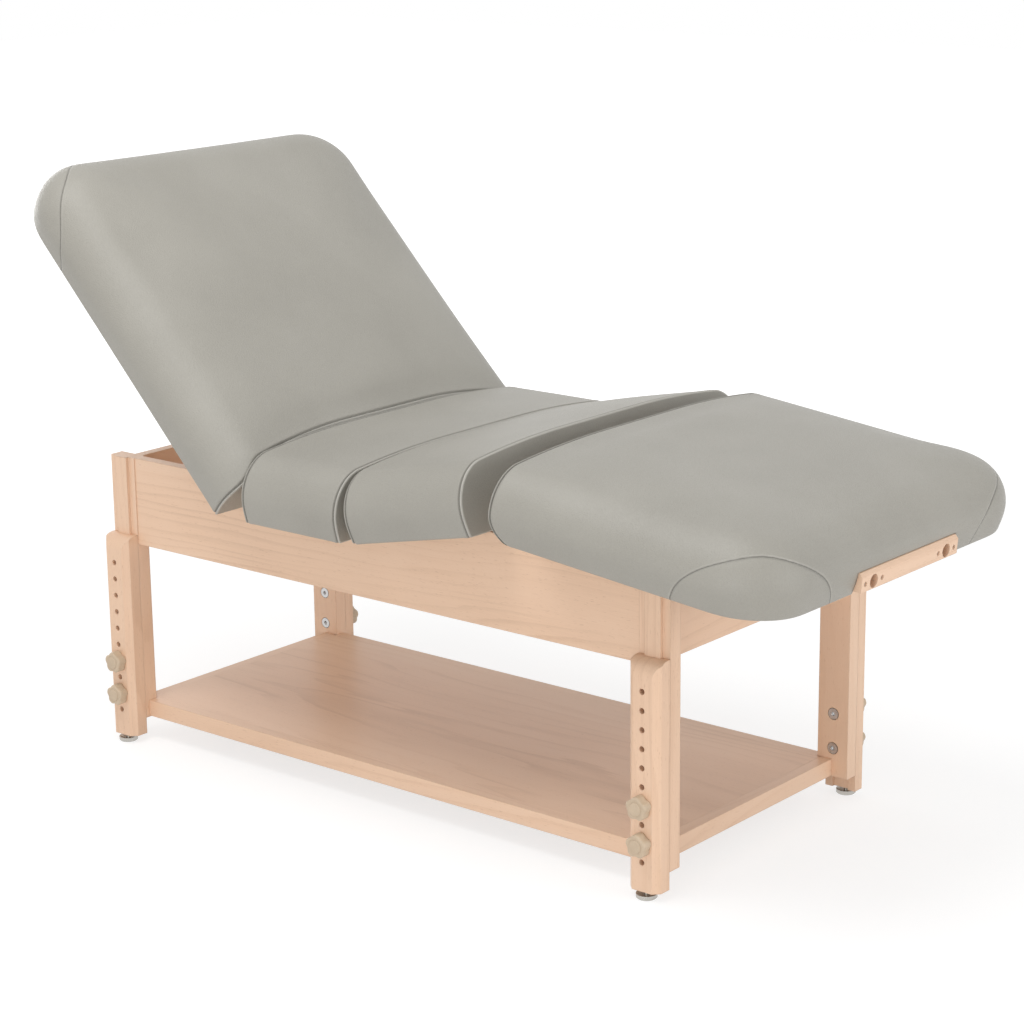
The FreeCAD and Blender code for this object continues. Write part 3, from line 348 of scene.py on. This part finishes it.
def mottledMaterial(name):
    f = plainFinishes[name]
    material, tree, shader = newMaterial(name)
    place = objectPlace(tree)
    fine = noise(tree, place, f["scale"], 4.0, 0.6)["Fac"]
    broad = noise(tree, place, f["scale"] * mottle["broad"], 2.0)["Fac"]
    mixed = math2(tree, "ADD", *(math2(tree, "MULTIPLY", part, mottle["share"]) for part in (fine, broad)))
    colour = ramp(tree, mixed, mottle["places"], f["colours"])
    gloss = mapped(tree, fine, mottle["heights"], f["roughness"])
    relief = bumped(tree, f["bump"], mottle["depth"], fine)
    connect(tree, shader, {"Base Color": colour, "Roughness": gloss, "Normal": relief.outputs[0]})
    shader.inputs["Metallic"].default_value = f["metallic"]
    return material


knobPlastic = mottledMaterial("beigePlastic")
nickel = mottledMaterial("nickelPlate")
brightSteel = mottledMaterial("zincSteel")
blackSteel = mottledMaterial("blackPowderCoat")

# Plywood: the maple's grain in duller colours and without lacquer
plywoodFinish = {"colours": ((0.44, 0.29, 0.17), (0.57, 0.40, 0.25), (0.65, 0.48, 0.32)),
                 "places": (0.05, 0.46, 0.80), "figure": 0.28, "roughness": 0.62, "bump": 0.25, "depth": 0.0006}


def plywoodMaterial():
    p = plywoodFinish
    material, tree, shader = newMaterial("plywoodPanel")
    grain = useGroup(tree, mapleGrain, {"Vector": objectPlace(tree), "Figure": p["figure"]})
    colour = ramp(tree, grain["Tone"], p["places"], p["colours"])
    bump = bumped(tree, p["bump"], p["depth"], grain["Streak"])
    connect(tree, shader, {"Base Color": colour, "Normal": bump.outputs[0]})
    shader.inputs["Roughness"].default_value = p["roughness"]
    return material


plywood = plywoodMaterial()
print("materials made")


def dress(names, material):
    for name in names:
        slots = frame["nodes"][name].data.materials
        slots.clear()
        slots.append(material)


corners = ("head_near", "head_far", "foot_near", "foot_far")
dress(("near_apron", "far_apron", "shelf_near_rail", "shelf_far_rail", "leg_runners", "prop_guides"), mapleLong)
dress(("head_apron", "foot_apron", "shelf_head_rail", "shelf_foot_rail", "back_cross_rail", "thigh_cross_rail",
       "foot_bearer", "prop_foot_bar"), mapleWide)
dress([corner + end for end in ("_post", "_leg") for corner in corners] + ["prop_arms"], mapleTall)
dress(("shelf_board",), mapleBoard)
dress(("face_rest_bar",), mapleBar)
dress(("seat_panel", "back_panel", "thigh_panel", "leg_panel"), plywood)
dress([corner + "_glide" for corner in corners], nickel)
dress(("height_bolts", "bar_screws"), brightSteel)
dress(("back_hinge_towers", "back_hinge_pins", "back_hinge_ears", "thigh_hinge_towers", "thigh_hinge_pins",
       "thigh_hinge_ears", "knee_thigh_arms", "knee_leg_arms", "knee_pins", "prop_brackets"), blackSteel)
print("frame dressed")


# Welds doubled points, takes out slivers where a length is given, and turns all faces outwards
def weld(mesh, distance, sliver=0.0):
    work = bmesh.new()
    work.from_mesh(mesh)
    bmesh.ops.remove_doubles(work, verts=work.verts[:], dist=distance)
    if sliver:
        bmesh.ops.dissolve_degenerate(work, edges=work.edges[:], dist=sliver)
    bmesh.ops.recalc_face_normals(work, faces=work.faces[:])
    work.to_mesh(mesh)
    work.free()


def readPoints(mesh):
    points = np.zeros(len(mesh.vertices) * 3)
    mesh.vertices.foreach_get("co", points)
    return points.reshape(-1, 3)


def writePoints(mesh, points):
    mesh.vertices.foreach_set("co", points.reshape(-1))


# Cushion form: distances in metres, heights counted from the sole of the edge roll. Plan lines stay square to
# the outline over squareRim and turn even with the inner line over evenOver.
cushionShape = {"halfWidth": 0.389, "crownFlat": 0.100, "sole": 0.509, "total": 0.1316, "belly": 0.045,
                "shoulder": 0.075, "soleInset": 0.010, "edgeRoll": 0.006, "innerWall": 0.097, "ceiling": 0.0545,
                "corner": 0.110, "step": 0.018, "squareRim": 0.010, "evenOver": 0.090,
                "capRows": (0.0, 0.012, 0.030, 0.100, 0.300, 0.600, 0.880, 1.0),
                "stripColumns": {True: 37, False: 7}, "weld": 2e-5, "sliver": 1e-6}
# Rows in each part of the half section, and how they are spread
sectionParts = {"shoulderStart": math.radians(75.0), "crown": 15, "crownPower": 1.25, "shoulder": 9, "side": 5,
                "tuckPower": 1.6, "roll": 5, "sole": 8, "wallGap": 0.006,
                "wall": ((-0.001, 0.005), (0.0, 0.016), (0.0, 0.034), (0.001, 0.0525))}
# Loops beside a flat end: distance from the end and how far the skin lies inside the plain form
endLoops = {"along": (0.0, 0.0009, 0.0022, 0.0035, 0.0046, 0.0058, 0.0078, 0.0120, 0.0190, 0.0300),
            "inside": (0.0024, 0.0006, -0.0002, 0.0008, 0.0026, 0.0008, -0.0006, -0.0004, 0.0000, 0.0000)}
dartPatch = {"reach": 0.158, "rise": 0.108, "power": 1.7}


# Half section as (inset, height) rows: parabola crown, round shoulder, drawn-in side, rolled foot,
# then the sole, the inner wall and the ceiling over the panel, as many rows below as above
def sectionRows():
    c, p = cushionShape, sectionParts
    start, middle, wall = p["shoulderStart"], c["halfWidth"] - c["crownFlat"], c["innerWall"]
    edgeInset = c["shoulder"] * (1.0 - math.cos(start))
    edgeHeight = c["belly"] + c["shoulder"] * math.sin(start)
    share = np.linspace(1.0, 0.0, p["crown"])[:-1] ** p["crownPower"]
    crown = np.stack([edgeInset + (middle - edgeInset) * share,
                      edgeHeight + (c["total"] - edgeHeight) * (1.0 - (1.0 - share) ** 2)], 1)
    bend = np.linspace(start, 0.0, p["shoulder"])
    shoulder = np.stack([c["shoulder"] * (1.0 - np.cos(bend)), c["belly"] + c["shoulder"] * np.sin(bend)], 1)
    fall = np.linspace(c["belly"], c["edgeRoll"], p["side"])[1:]
    side = np.stack([c["soleInset"] * ((c["belly"] - fall) / c["belly"]) ** p["tuckPower"], fall], 1)
    roll = np.linspace(0.0, math.pi / 2.0, p["roll"])[1:]
    foot = np.stack([side[-1, 0] + c["edgeRoll"] * (1.0 - np.cos(roll)), c["edgeRoll"] * (1.0 - np.sin(roll))], 1)
    upper = np.concatenate([crown, shoulder, side, foot])
    flat = np.linspace(foot[-1, 0], wall - p["wallGap"], p["sole"])[1:]
    sole = np.stack([flat, np.zeros(len(flat))], 1)
    rise = np.array(p["wall"]) + (wall, 0.0)
    left = len(upper) - 1 - len(sole) - len(rise)
    ceiling = np.stack([np.linspace(wall + p["wallGap"], middle, left), np.full(left, c["ceiling"])], 1)
    return np.concatenate([upper, sole, rise, ceiling]), len(upper)


# Distance along a run of points
def runLength(points):
    steps = np.linalg.norm(np.diff(points, axis=0), axis=1)
    return np.concatenate([[0.0], np.cumsum(steps)])


# Inward unit normals of the half section, from its neighbours
def inwardNormals(rows):
    slope = np.gradient(rows, axis=0)
    slope /= np.maximum(np.linalg.norm(slope, axis=1, keepdims=True), 1e-9)
    return np.stack([-slope[:, 1], slope[:, 0]], 1)


# Collects grids of points with a value for each seam attribute, and makes one welded closed mesh of them
class SkinGrids:
    labels = ("endSeam", "seamRun", "dartSeam")

    def __init__(self):
        self.points = []
        self.values = []
        self.faces = []
        self.count = 0

    def add(self, points, *values):
        shape = points.shape[:2]
        index = self.count + np.arange(shape[0] * shape[1]).reshape(shape)
        quads = np.stack([index[:-1, :-1], index[1:, :-1], index[1:, 1:], index[:-1, 1:]], -1)
        self.points.append(points.reshape(-1, 3))
        self.values.append(np.stack([np.broadcast_to(value, shape).reshape(-1) for value in values], -1))
        self.faces.append(quads.reshape(-1, 4))
        self.count += index.size

    def mesh(self, name):
        mesh = bpy.data.meshes.new(name)
        mesh.from_pydata(np.concatenate(self.points), [], np.concatenate(self.faces).tolist())
        values = np.concatenate(self.values).astype(np.float32)
        for column, label in enumerate(self.labels):
            layer = mesh.attributes.new(label, "FLOAT", "POINT")
            layer.data.foreach_set("value", np.ascontiguousarray(values[:, column]))
        weld(mesh, cushionShape["weld"], cushionShape["sliver"])
        return mesh


# Plan points for each row's inset: square to the outline by the rim, then in proportion towards the inner line
def insetPlan(outline, inwards, inner, inset):
    c = cushionShape
    share = (inset / (c["halfWidth"] - c["crownFlat"]))[None, :, None]
    square = outline[:, None, :] + inwards[:, None, :] * inset[None, :, None]
    even = outline[:, None, :] * (1.0 - share) + inner[:, None, :] * share
    change = np.clip((inset - c["squareRim"]) / c["evenOver"], 0.0, 1.0)
    change = (change * change * (3.0 - 2.0 * change))[None, :, None]
    return square * (1.0 - change) + even * change


# Distance outwards from the sewn line of a corner patch, by the run along the rim and the rise up the side
def dartDistance(sideRun, rise, shown):
    d, power = dartPatch, dartPatch["power"]
    run, climb = sideRun / d["reach"], np.abs(rise) / d["rise"]
    level = np.maximum((run ** power + climb ** power) ** (1.0 / power), 1e-4)
    slope = np.hypot(run ** (power - 1.0) / d["reach"], climb ** (power - 1.0) / d["rise"])
    gap = (level - 1.0) / np.maximum(slope * level ** (1.0 - power), 1e-6)
    return np.where(shown, gap, 1.0)


# Plan of a rounded end from the middle of one corner to the middle of the other: outline, directions inwards,
# and distance from the nearer corner
def roundedEnd(length, columns):
    half, radius = cushionShape["halfWidth"], cushionShape["corner"]
    eighth = math.pi / 4.0
    arc = radius * eighth
    turn = np.linspace(0.0, 1.0, columns) * (2.0 * (half - radius) + 2.0 * arc)
    back = turn[-1] - turn
    lead = np.clip(turn / radius, 0.0, eighth) + eighth
    tail = np.clip(back / radius, 0.0, eighth) + eighth
    firstHalf = turn < turn[-1] / 2.0
    bend = np.where(firstHalf, lead, tail)
    straightY = -half + radius + np.clip(turn - arc, 0.0, turn[-1] - 2.0 * arc)
    startY = -half + radius - radius * np.cos(lead)
    finishY = half - radius + radius * np.cos(tail)
    endY = np.where(turn < arc, startY, np.where(turn > turn[-1] - arc, finishY, straightY))
    outline = np.stack([length - radius + radius * np.sin(bend), endY], 1)
    inwards = np.stack([-np.sin(bend), np.where(firstHalf, 1.0, -1.0) * np.cos(bend)], 1)
    return outline, inwards, np.minimum(turn, back)


# Skin of one section on grids: section rows carried along the plan outline, which runs from the flat
# end along the near side and, where the far end is rounded, round its corners. Points between the
# outline and a narrow middle strip lie in proportion to their inset, and the strip is filled by rows.
def cushionSkin(section):
    c = cushionShape
    rows, upperCount = sectionRows()
    outer = np.arange(len(rows)) < upperCount
    normals = inwardNormals(rows)
    normals[0] = (0.0, -1.0)  # level at the middle strip, so that the strip meets the sides
    half, strip, length, rounded = c["halfWidth"], c["crownFlat"], section["length"], section["rounded"]
    down = runLength(rows)
    rise = down[upperCount - 1] - down
    loops = np.array(endLoops["along"])
    radius = c["corner"] if rounded else 0.0
    sidePath = length - radius + radius * math.pi / 4.0 if rounded else length / 2.0
    free = np.linspace(loops[-1], sidePath, max(4, int((sidePath - loops[-1]) / c["step"])))[1:]
    path = np.concatenate([loops, free])
    if not rounded:
        path = np.concatenate([path, length - path[-2::-1]])
    innerEnd = length - (half - strip) if rounded else length
    corner = np.clip((path - (length - radius)) / radius, 0.0, None) if rounded else np.zeros(len(path))
    outline = np.stack([np.minimum(path, length - radius) + radius * np.sin(corner),
                        half - radius * (1.0 - np.cos(corner))], 1)
    inwards = np.stack([-np.sin(corner), -np.cos(corner)], 1)
    shrink = (innerEnd - loops[-1]) / (sidePath - loops[-1]) if rounded else 1.0
    innerX = np.where(path <= loops[-1], path, loops[-1] + (path - loops[-1]) * shrink)
    plan = insetPlan(outline, inwards, np.stack([innerX, np.full(len(path), strip)], 1), rows[:, 0])

    def toEnd(along):
        return along if rounded else np.minimum(along, length - along)

    def placed(along, across, height):
        spread = (np.broadcast_to(part, along.shape) for part in (across, height))
        return np.stack([section["flatX"] + section["way"] * along, *spread], -1)

    x = plan[..., 0]
    deep = np.clip(1.0 - x / max(section["endRound"], 1e-6), 0.0, 1.0)
    eased = section["endRound"] * (1.0 - np.sqrt(np.maximum(1.0 - deep ** 2, 0.0)))
    inside = np.interp(toEnd(x), endLoops["along"], endLoops["inside"])
    inside = inside + eased * (1.0 - normals[:, 0] ** 2) * outer
    y = plan[..., 1] - inside * normals[:, 0]
    z = c["sole"] + rows[:, 1] + inside * normals[:, 1]
    grids = SkinGrids()
    sides = [placed(x, hand * y, z) for hand in (-1.0, 1.0)]
    sideDart = dartDistance((sidePath - path)[:, None], rise, outer) if rounded else 1.0
    for side in sides:
        grids.add(side, toEnd(x), strip + down, sideDart)
    columns = c["stripColumns"][rounded]
    stripY = np.linspace(-strip, strip, columns)
    if rounded:
        endOutline, endInwards, nearest = roundedEnd(length, columns)
        endInner = np.stack([np.full(columns, innerEnd), stripY], 1)
        endPlan = insetPlan(endOutline, endInwards, endInner, rows[:, 0])
        endPoints = placed(endPlan[..., 0], endPlan[..., 1], c["sole"] + rows[:, 1])
        grids.add(endPoints, 1.0, strip + down, dartDistance(nearest[:, None], rise, outer))
    stripX = np.broadcast_to(innerX[:, None], (len(path), columns))
    strips = [placed(stripX, stripY, z[:, row, None]) for row in (0, -1)]
    for points in strips:
        grids.add(points, toEnd(stripX), np.abs(stripY), 1.0)
    blend = np.array(c["capRows"])[:, None, None]

    def addCap(upper, lower):
        cap = upper[None] * (1.0 - blend) + lower[None] * blend
        fromEdge = np.minimum(blend, 1.0 - blend)[..., 0] * np.linalg.norm(upper - lower, axis=-1)
        grids.add(cap, -fromEdge, 0.0, 1.0)

    for end in ((0,) if rounded else (0, -1)):
        for side in sides:
            addCap(side[end, :upperCount], side[end, upperCount - 1:][::-1])
        addCap(strips[0][end], strips[1][end])
    return grids.mesh(section["name"])


# Foam pressed against its cover: a short cloth run under pressure with the underside, the ends and the ceiling
# held, each point kept within a few millimetres of the drawn form
puffing = {"frames": 18, "limit": 0.006, "rounds": 14, "keep": 0.4, "endHeld": 0.012, "endFade": 0.050,
           "soleHeld": 0.012, "soleFade": 0.02, "ceilingNear": 0.004, "ceilingHalf": 0.30}
puffCloth = {"vertex_group_mass": "held", "quality": 4, "mass": 0.4, "tension_stiffness": 40.0,
             "compression_stiffness": 40.0, "shear_stiffness": 20.0, "bending_stiffness": 8.0,
             "use_pressure": True, "uniform_pressure_force": 3.0}


# Averages each point's shift with its neighbours' a few times, so that the cover stays taut
def evenOut(mesh, shift):
    ends = np.zeros(len(mesh.edges) * 2, dtype=np.int32)
    mesh.edges.foreach_get("vertices", ends)
    first, second = ends.reshape(-1, 2).T
    degree = np.bincount(ends, minlength=len(shift))[:, None]
    for _ in range(puffing["rounds"]):
        around = np.zeros_like(shift)
        np.add.at(around, first, shift[second])
        np.add.at(around, second, shift[first])
        shift = puffing["keep"] * shift + (1.0 - puffing["keep"]) * around / degree
    return shift


def puffUp(piece):
    p, mesh = puffing, piece.data
    drawn = readPoints(mesh)
    fromEnd = np.zeros(len(drawn))
    mesh.attributes["endSeam"].data.foreach_get("value", fromEnd)
    height = drawn[:, 2] - cushionShape["sole"]
    loose = np.clip((fromEnd - p["endHeld"]) / p["endFade"], 0.0, 1.0)
    loose *= np.clip((height - p["soleHeld"]) / p["soleFade"], 0.0, 1.0)
    byCeiling = np.abs(height - cushionShape["ceiling"]) < p["ceilingNear"]
    loose[byCeiling & (np.abs(drawn[:, 1]) < p["ceilingHalf"])] = 0.0
    group = piece.vertex_groups.new(name="held")
    held = np.round(1.0 - loose, 2)
    for level in np.unique(held):
        group.add(np.nonzero(held == level)[0].tolist(), float(level), "REPLACE")
    cloth = piece.modifiers.new("cloth", "CLOTH")
    for key, value in puffCloth.items():
        setattr(cloth.settings, key, value)
    cloth.settings.effector_weights.gravity = 0.0
    cloth.point_cache.frame_start = 1
    cloth.point_cache.frame_end = p["frames"]
    for moment in range(1, p["frames"] + 1):
        bpy.context.scene.frame_set(moment)
    shift = readPoints(piece.evaluated_get(bpy.context.evaluated_depsgraph_get()).to_mesh()) - drawn
    far = np.linalg.norm(shift, axis=1, keepdims=True)
    shift = evenOut(mesh, shift * np.minimum(1.0, p["limit"] / np.maximum(far, 1e-9))) * loose[:, None]
    print("  puffed", piece.name, "by up to", round(float(np.abs(shift).max()) * 1000.0, 2), "mm")
    piece.modifiers.remove(cloth)
    piece.vertex_groups.remove(group)
    writePoints(mesh, drawn + shift)
    bpy.context.scene.frame_set(1)


# Applies whatever modifiers a piece has
def settle(piece):
    bpy.context.view_layer.update()
    made = bpy.data.meshes.new_from_object(piece.evaluated_get(bpy.context.evaluated_depsgraph_get()))
    piece.modifiers.clear()
    old = piece.data
    piece.data = made
    made.name = old.name
    bpy.data.meshes.remove(old)


# Cuts box-shaped pockets out of a piece
def cutPockets(piece, boxes):
    for low, high in boxes:
        mesh = bpy.data.meshes.new("pocket")
        work = bmesh.new()
        size = Vector(high) - Vector(low)
        middle = (Vector(high) + Vector(low)) / 2.0
        bmesh.ops.create_cube(work, size=1.0, matrix=Matrix.Translation(middle) @ Matrix.Diagonal((*size, 1.0)))
        work.to_mesh(mesh)
        work.free()
        cutter = addObject("pocket", mesh)
        knife = piece.modifiers.new("pocket", "BOOLEAN")
        knife.operation = "DIFFERENCE"
        knife.solver = "EXACT"
        knife.object = cutter
        settle(piece)
        bpy.data.objects.remove(cutter)
        bpy.data.meshes.remove(mesh)


jointPlaces = {joint["name"]: Vector(joint.get("pos_m", (0, 0, 0))) for joint in frame["joints"]}
backHinge, thighHinge, kneeNow = jointPlaces["back_lift"], jointPlaces["knee_lift"], jointPlaces["leg_follow"]
kneeFlat = Vector((thighHinge.x + 0.2715, 0.0, 0.415))  # where the knee axis lies when the table is level
hingePocket = {"y": 0.130, "half": 0.0115, "reach": 0.0115, "low": 0.500}
barPocket = ((kneeFlat.x + 0.455, -0.1445, 0.48), (kneeFlat.x + 0.58, 0.1445, 0.548))


# Room for the two hinges of an axis, from behind the pin to beyond the cushion's end
def hingePockets(startX, endX, pivot):
    boxes = []
    for side in (-1.0, 1.0):
        low = (startX, side * hingePocket["y"] - hingePocket["half"], hingePocket["low"])
        boxes.append((low, (endX, side * hingePocket["y"] + hingePocket["half"], pivot.z + hingePocket["reach"])))
    return boxes


# One dictionary per section: flat end, which way it runs, its length, and how it stands at rest
backSection = {"name": "backCushion", "node": "back_cushion", "body": "back_section",
               "flatX": backHinge.x + 0.0310, "way": -1.0, "length": 0.718, "rounded": True, "endRound": 0.0,
               "turn": 46.5, "pivot": backHinge, "target": backHinge,
               "lean": {"from": 0.6070, "slope": 57.0, "soft": 0.006, "reach": 0.22},
               "pockets": hingePockets(backHinge.x - hingePocket["reach"], backHinge.x + 0.038, backHinge)}
seatSection = {"name": "seatCushion", "node": "seat_cushion", "body": "base",
               "flatX": backHinge.x + 0.0390, "way": 1.0, "length": 0.220, "rounded": False, "endRound": 0.0,
               "turn": 0.0, "pivot": Vector(), "target": Vector(),
               "pockets": hingePockets(thighHinge.x - hingePocket["reach"], thighHinge.x + 0.004, thighHinge)}
thighSection = {"name": "thighCushion", "node": "thigh_cushion", "body": "thigh_section",
                "flatX": thighHinge.x + 0.0035, "way": 1.0, "length": 0.263, "rounded": False, "endRound": 0.007,
                "turn": -12.0, "pivot": thighHinge, "target": thighHinge,
                "pockets": hingePockets(thighHinge.x - 0.004, thighHinge.x + hingePocket["reach"], thighHinge)}
legSection = {"name": "legCushion", "node": "leg_cushion", "body": "leg_section",
              "flatX": kneeFlat.x + 0.0050, "way": 1.0, "length": 0.535, "rounded": True, "endRound": 0.0,
              "turn": 5.6, "pivot": kneeFlat, "target": kneeNow,
              "heel": {"radius": 0.046, "depth": 0.985, "reach": 0.20}, "pockets": [barPocket]}


# Slants the flat end above a height, as much as the slope asks
def leanShift(height, lean):
    above = height - lean["from"]
    return 0.5 * (above + np.sqrt(above ** 2 + lean["soft"] ** 2)) * math.tan(math.radians(lean["slope"]))


# Rounds the lower edge of the flat end: a point under the round's middle moves in to the circle
def heelShift(height, heel):
    under = np.clip(1.0 - (height - cushionShape["sole"]) / heel["radius"], 0.0, 1.0)
    return heel["radius"] * (1.0 - np.sqrt(1.0 - (heel["depth"] * under) ** 2))


# Moves the flat end in by a shift that depends on height and fades out along the cushion
def drawIn(mesh, section, shiftAt, shape):
    place = readPoints(mesh)
    along = (place[:, 0] - section["flatX"]) * section["way"]
    fade = np.clip(1.0 - along / shape["reach"], 0.0, 1.0)
    place[:, 0] += section["way"] * shiftAt(place[:, 2], shape) * fade
    writePoints(mesh, place)


def makeCushion(section):
    mesh = cushionSkin(section)
    for key, shiftAt in (("lean", leanShift), ("heel", heelShift)):
        if key in section:
            drawIn(mesh, section, shiftAt, section[key])
    piece = addObject(section["name"], mesh)
    puffUp(piece)
    smooth = piece.modifiers.new("smooth", "SUBSURF")
    smooth.levels = 1
    smooth.render_levels = 1
    settle(piece)
    cutPockets(piece, section["pockets"])
    stand = Matrix.Translation(section["target"]) @ Matrix.Rotation(math.radians(section["turn"]), 4, "Y")
    piece.data.transform(stand @ Matrix.Translation(-section["pivot"]))
    piece.data.shade_smooth()
    piece.data.materials.clear()
    piece.data.materials.append(greyVinyl)
    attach(piece, section["body"])
    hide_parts(section["node"])
    print("cushion made:", section["name"], len(piece.data.polygons), "faces")


for cushionSection in (backSection, seatSection, thighSection, legSection):
    makeCushion(cushionSection)

# Moulded star knob about its own Y axis: lobes with hollows between them, bore, and a cap whose foot and edge
# are (outwards, upwards) steps from the cap's radius
starKnob = {"radius": 0.0200, "hollow": 0.0030, "hollowPower": 1.5, "thick": 0.0180, "round": 0.0034, "bends": 6,
            "bore": 0.0049, "boreDepth": 0.0130, "cap": 0.0112, "capRise": 0.0016, "capFlat": 0.0040,
            "capFoot": ((0.0012, 0.0), (0.0002, -0.0006), (0.0, 0.0004)),
            "capEdge": ((0.0, -0.0012), (-0.0004, -0.0004), (-0.0014, 0.0)),
            "pole": 0.00001, "lobes": 5, "around": 120, "weld": 3e-5}


# Knob skin as a profile of (share of the lobed radius, radius of the round part, height) rows turned about
# the axis: the outline is a circle less a cosine hollow between lobes
def knobSkin(name):
    k = starKnob
    around = np.linspace(0.0, 2.0 * math.pi, k["around"], endpoint=False)
    wave = 0.5 * (1.0 + np.cos(k["lobes"] * around))
    outline = k["radius"] - k["hollow"] * (1.0 - wave) ** k["hollowPower"]
    bend = np.linspace(0.0, math.pi / 2.0, k["bends"])
    full, small, thick, top = k["round"], 0.5 * k["round"], k["thick"], k["thick"] + k["capRise"]
    bore = [(0.0, k["pole"], k["boreDepth"]), (0.0, k["bore"], k["boreDepth"]), (0.0, k["bore"], 0.0)]
    lowRound = [(1.0, -small * (1.0 - math.sin(t)), small * (1.0 - math.cos(t))) for t in bend]
    topRound = [(1.0, -full * (1.0 - math.cos(t)), thick - full * (1.0 - math.sin(t))) for t in bend]
    capFoot = [(0.0, k["cap"] + out, thick + up) for out, up in k["capFoot"]]
    capEdge = [(0.0, k["cap"] + out, top + up) for out, up in k["capEdge"]]
    capTop = [(0.0, k["capFlat"], top), (0.0, k["pole"], top)]
    rows = np.array(bore + lowRound + topRound + capFoot + capEdge + capTop)
    reach = rows[:, 0, None] * outline + rows[:, 1, None]
    height = np.broadcast_to(rows[:, 2, None], reach.shape)
    points = np.stack([reach * np.sin(around), height, reach * np.cos(around)], -1)
    index = np.arange(reach.size).reshape(reach.shape)
    ring = np.roll(index, -1, axis=1)
    quads = np.stack([index[:-1], ring[:-1], ring[1:], index[1:]], -1).reshape(-1, 4)
    mesh = bpy.data.meshes.new(name)
    mesh.from_pydata(points.reshape(-1, 3), [], quads.tolist())
    weld(mesh, k["weld"])
    return mesh


def makeKnob(node, body, seat, turn):
    mesh = knobSkin(node + "_moulded")
    mesh.transform(Matrix.Translation(seat) @ turn)
    piece = addObject(node + "_moulded", mesh)
    mesh.shade_smooth()
    mesh.materials.append(knobPlastic)
    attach(piece, body)
    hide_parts(node)


# Whether a knob faces the near side: the leg knobs face outwards, the two knee knobs inwards
knobFacing = {corner + row: corner.endswith("near") for corner in corners for row in ("_upper_knob", "_lower_knob")}
knobFacing.update({"knee_near_knob": False, "knee_far_knob": True})
for knobNode, facesNear in knobFacing.items():
    low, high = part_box(knobNode)
    place = jointPlaces[knobNode + "_turn"]
    knobSeat = Vector((place.x, high.y if facesNear else low.y, place.z))
    makeKnob(knobNode, knobNode + "_body", knobSeat, Matrix.Rotation(math.pi if facesNear else 0.0, 4, "Z"))
print("knobs made")

# Studio: white surroundings for the eye, soft light for the object
studio = {"floorHalf": 14.0, "world": 0.58, "bounce": 0.88, "shadow": 0.36, "glow": 0.72, "fade": (1.8, 3.6),
          "white": (1.0, 1.0, 1.0, 1.0)}


def rayMask(tree):
    path = tree.nodes.new("ShaderNodeLightPath")
    seen = math2(tree, "MAXIMUM", path.outputs["Is Camera Ray"], path.outputs["Is Glossy Ray"])
    return math2(tree, "MAXIMUM", seen, path.outputs["Is Transmission Ray"])


# Floor that is a dark matte with its own glow to the eye, so that only shadows show, and bright to the object
def addFloor():
    half = studio["floorHalf"]
    mesh = bpy.data.meshes.new("studioFloor")
    mesh.from_pydata([(-half, -half, 0), (half, -half, 0), (half, half, 0), (-half, half, 0)], [], [(0, 1, 2, 3)])
    floor = addObject("studioFloor", mesh)
    material = bpy.data.materials.new("studioWhite")
    material.use_nodes = True
    tree = material.node_tree
    tree.nodes.clear()
    seen = rayMask(tree)
    radius = vector2(tree, "LENGTH", objectPlace(tree))["Value"]
    away = mapped(tree, radius, studio["fade"], (studio["glow"], 1.0), interpolation_type="SMOOTHSTEP")
    tone = mapped(tree, seen, (0.0, 1.0), (studio["bounce"], studio["shadow"]))
    matte = put(tree, "ShaderNodeBsdfDiffuse", {"Color": tone})
    strength = math2(tree, "MULTIPLY", seen, away)
    glow = put(tree, "ShaderNodeEmission", {"Color": studio["white"], "Strength": strength})
    both = put(tree, "ShaderNodeAddShader", {0: matte.outputs[0], 1: glow.outputs[0]})
    put(tree, "ShaderNodeOutputMaterial", {"Surface": both.outputs[0]})
    mesh.materials.append(material)


def addWorld():
    world = bpy.data.worlds.new("studioWorld")
    world.use_nodes = True
    tree = world.node_tree
    tree.nodes.clear()
    strength = mapped(tree, rayMask(tree), (0.0, 1.0), (studio["world"], 1.0))
    sky = put(tree, "ShaderNodeBackground", {"Color": studio["white"], "Strength": strength})
    put(tree, "ShaderNodeOutputWorld", {"Surface": sky.outputs[0]})
    bpy.context.scene.world = world


lamps = {"overhead": {"spot": (-0.3, -1.2, 3.6), "aim": (-0.2, 0.0, 0.5), "size": 2.2, "power": 50.0},
         "front": {"spot": (1.7, -4.6, 0.6), "aim": (0.1, 0.0, 0.4), "size": 2.4, "power": 58.0},
         "footSide": {"spot": (4.6, 0.5, 1.1), "aim": (0.0, 0.0, 0.5), "size": 2.4, "power": 48.0},
         "headFill": {"spot": (-4.4, 1.4, 0.9), "aim": (0.0, 0.0, 0.4), "size": 2.4, "power": 40.0}}


def addLamp(name, lamp):
    data = bpy.data.lights.new(name, "AREA")
    data.shape = "DISK"
    data.size = lamp["size"]
    data.energy = lamp["power"]
    light = addObject(name, data)
    aim = (Vector(lamp["aim"]) - Vector(lamp["spot"])).to_track_quat("-Z", "Y").to_matrix().to_4x4()
    light.matrix_world = Matrix.Translation(lamp["spot"]) @ aim


addFloor()
addWorld()
for lampName, lampValues in lamps.items():
    addLamp(lampName, lampValues)
bpy.context.scene.view_settings.view_transform = "Standard"
print("studio lit")
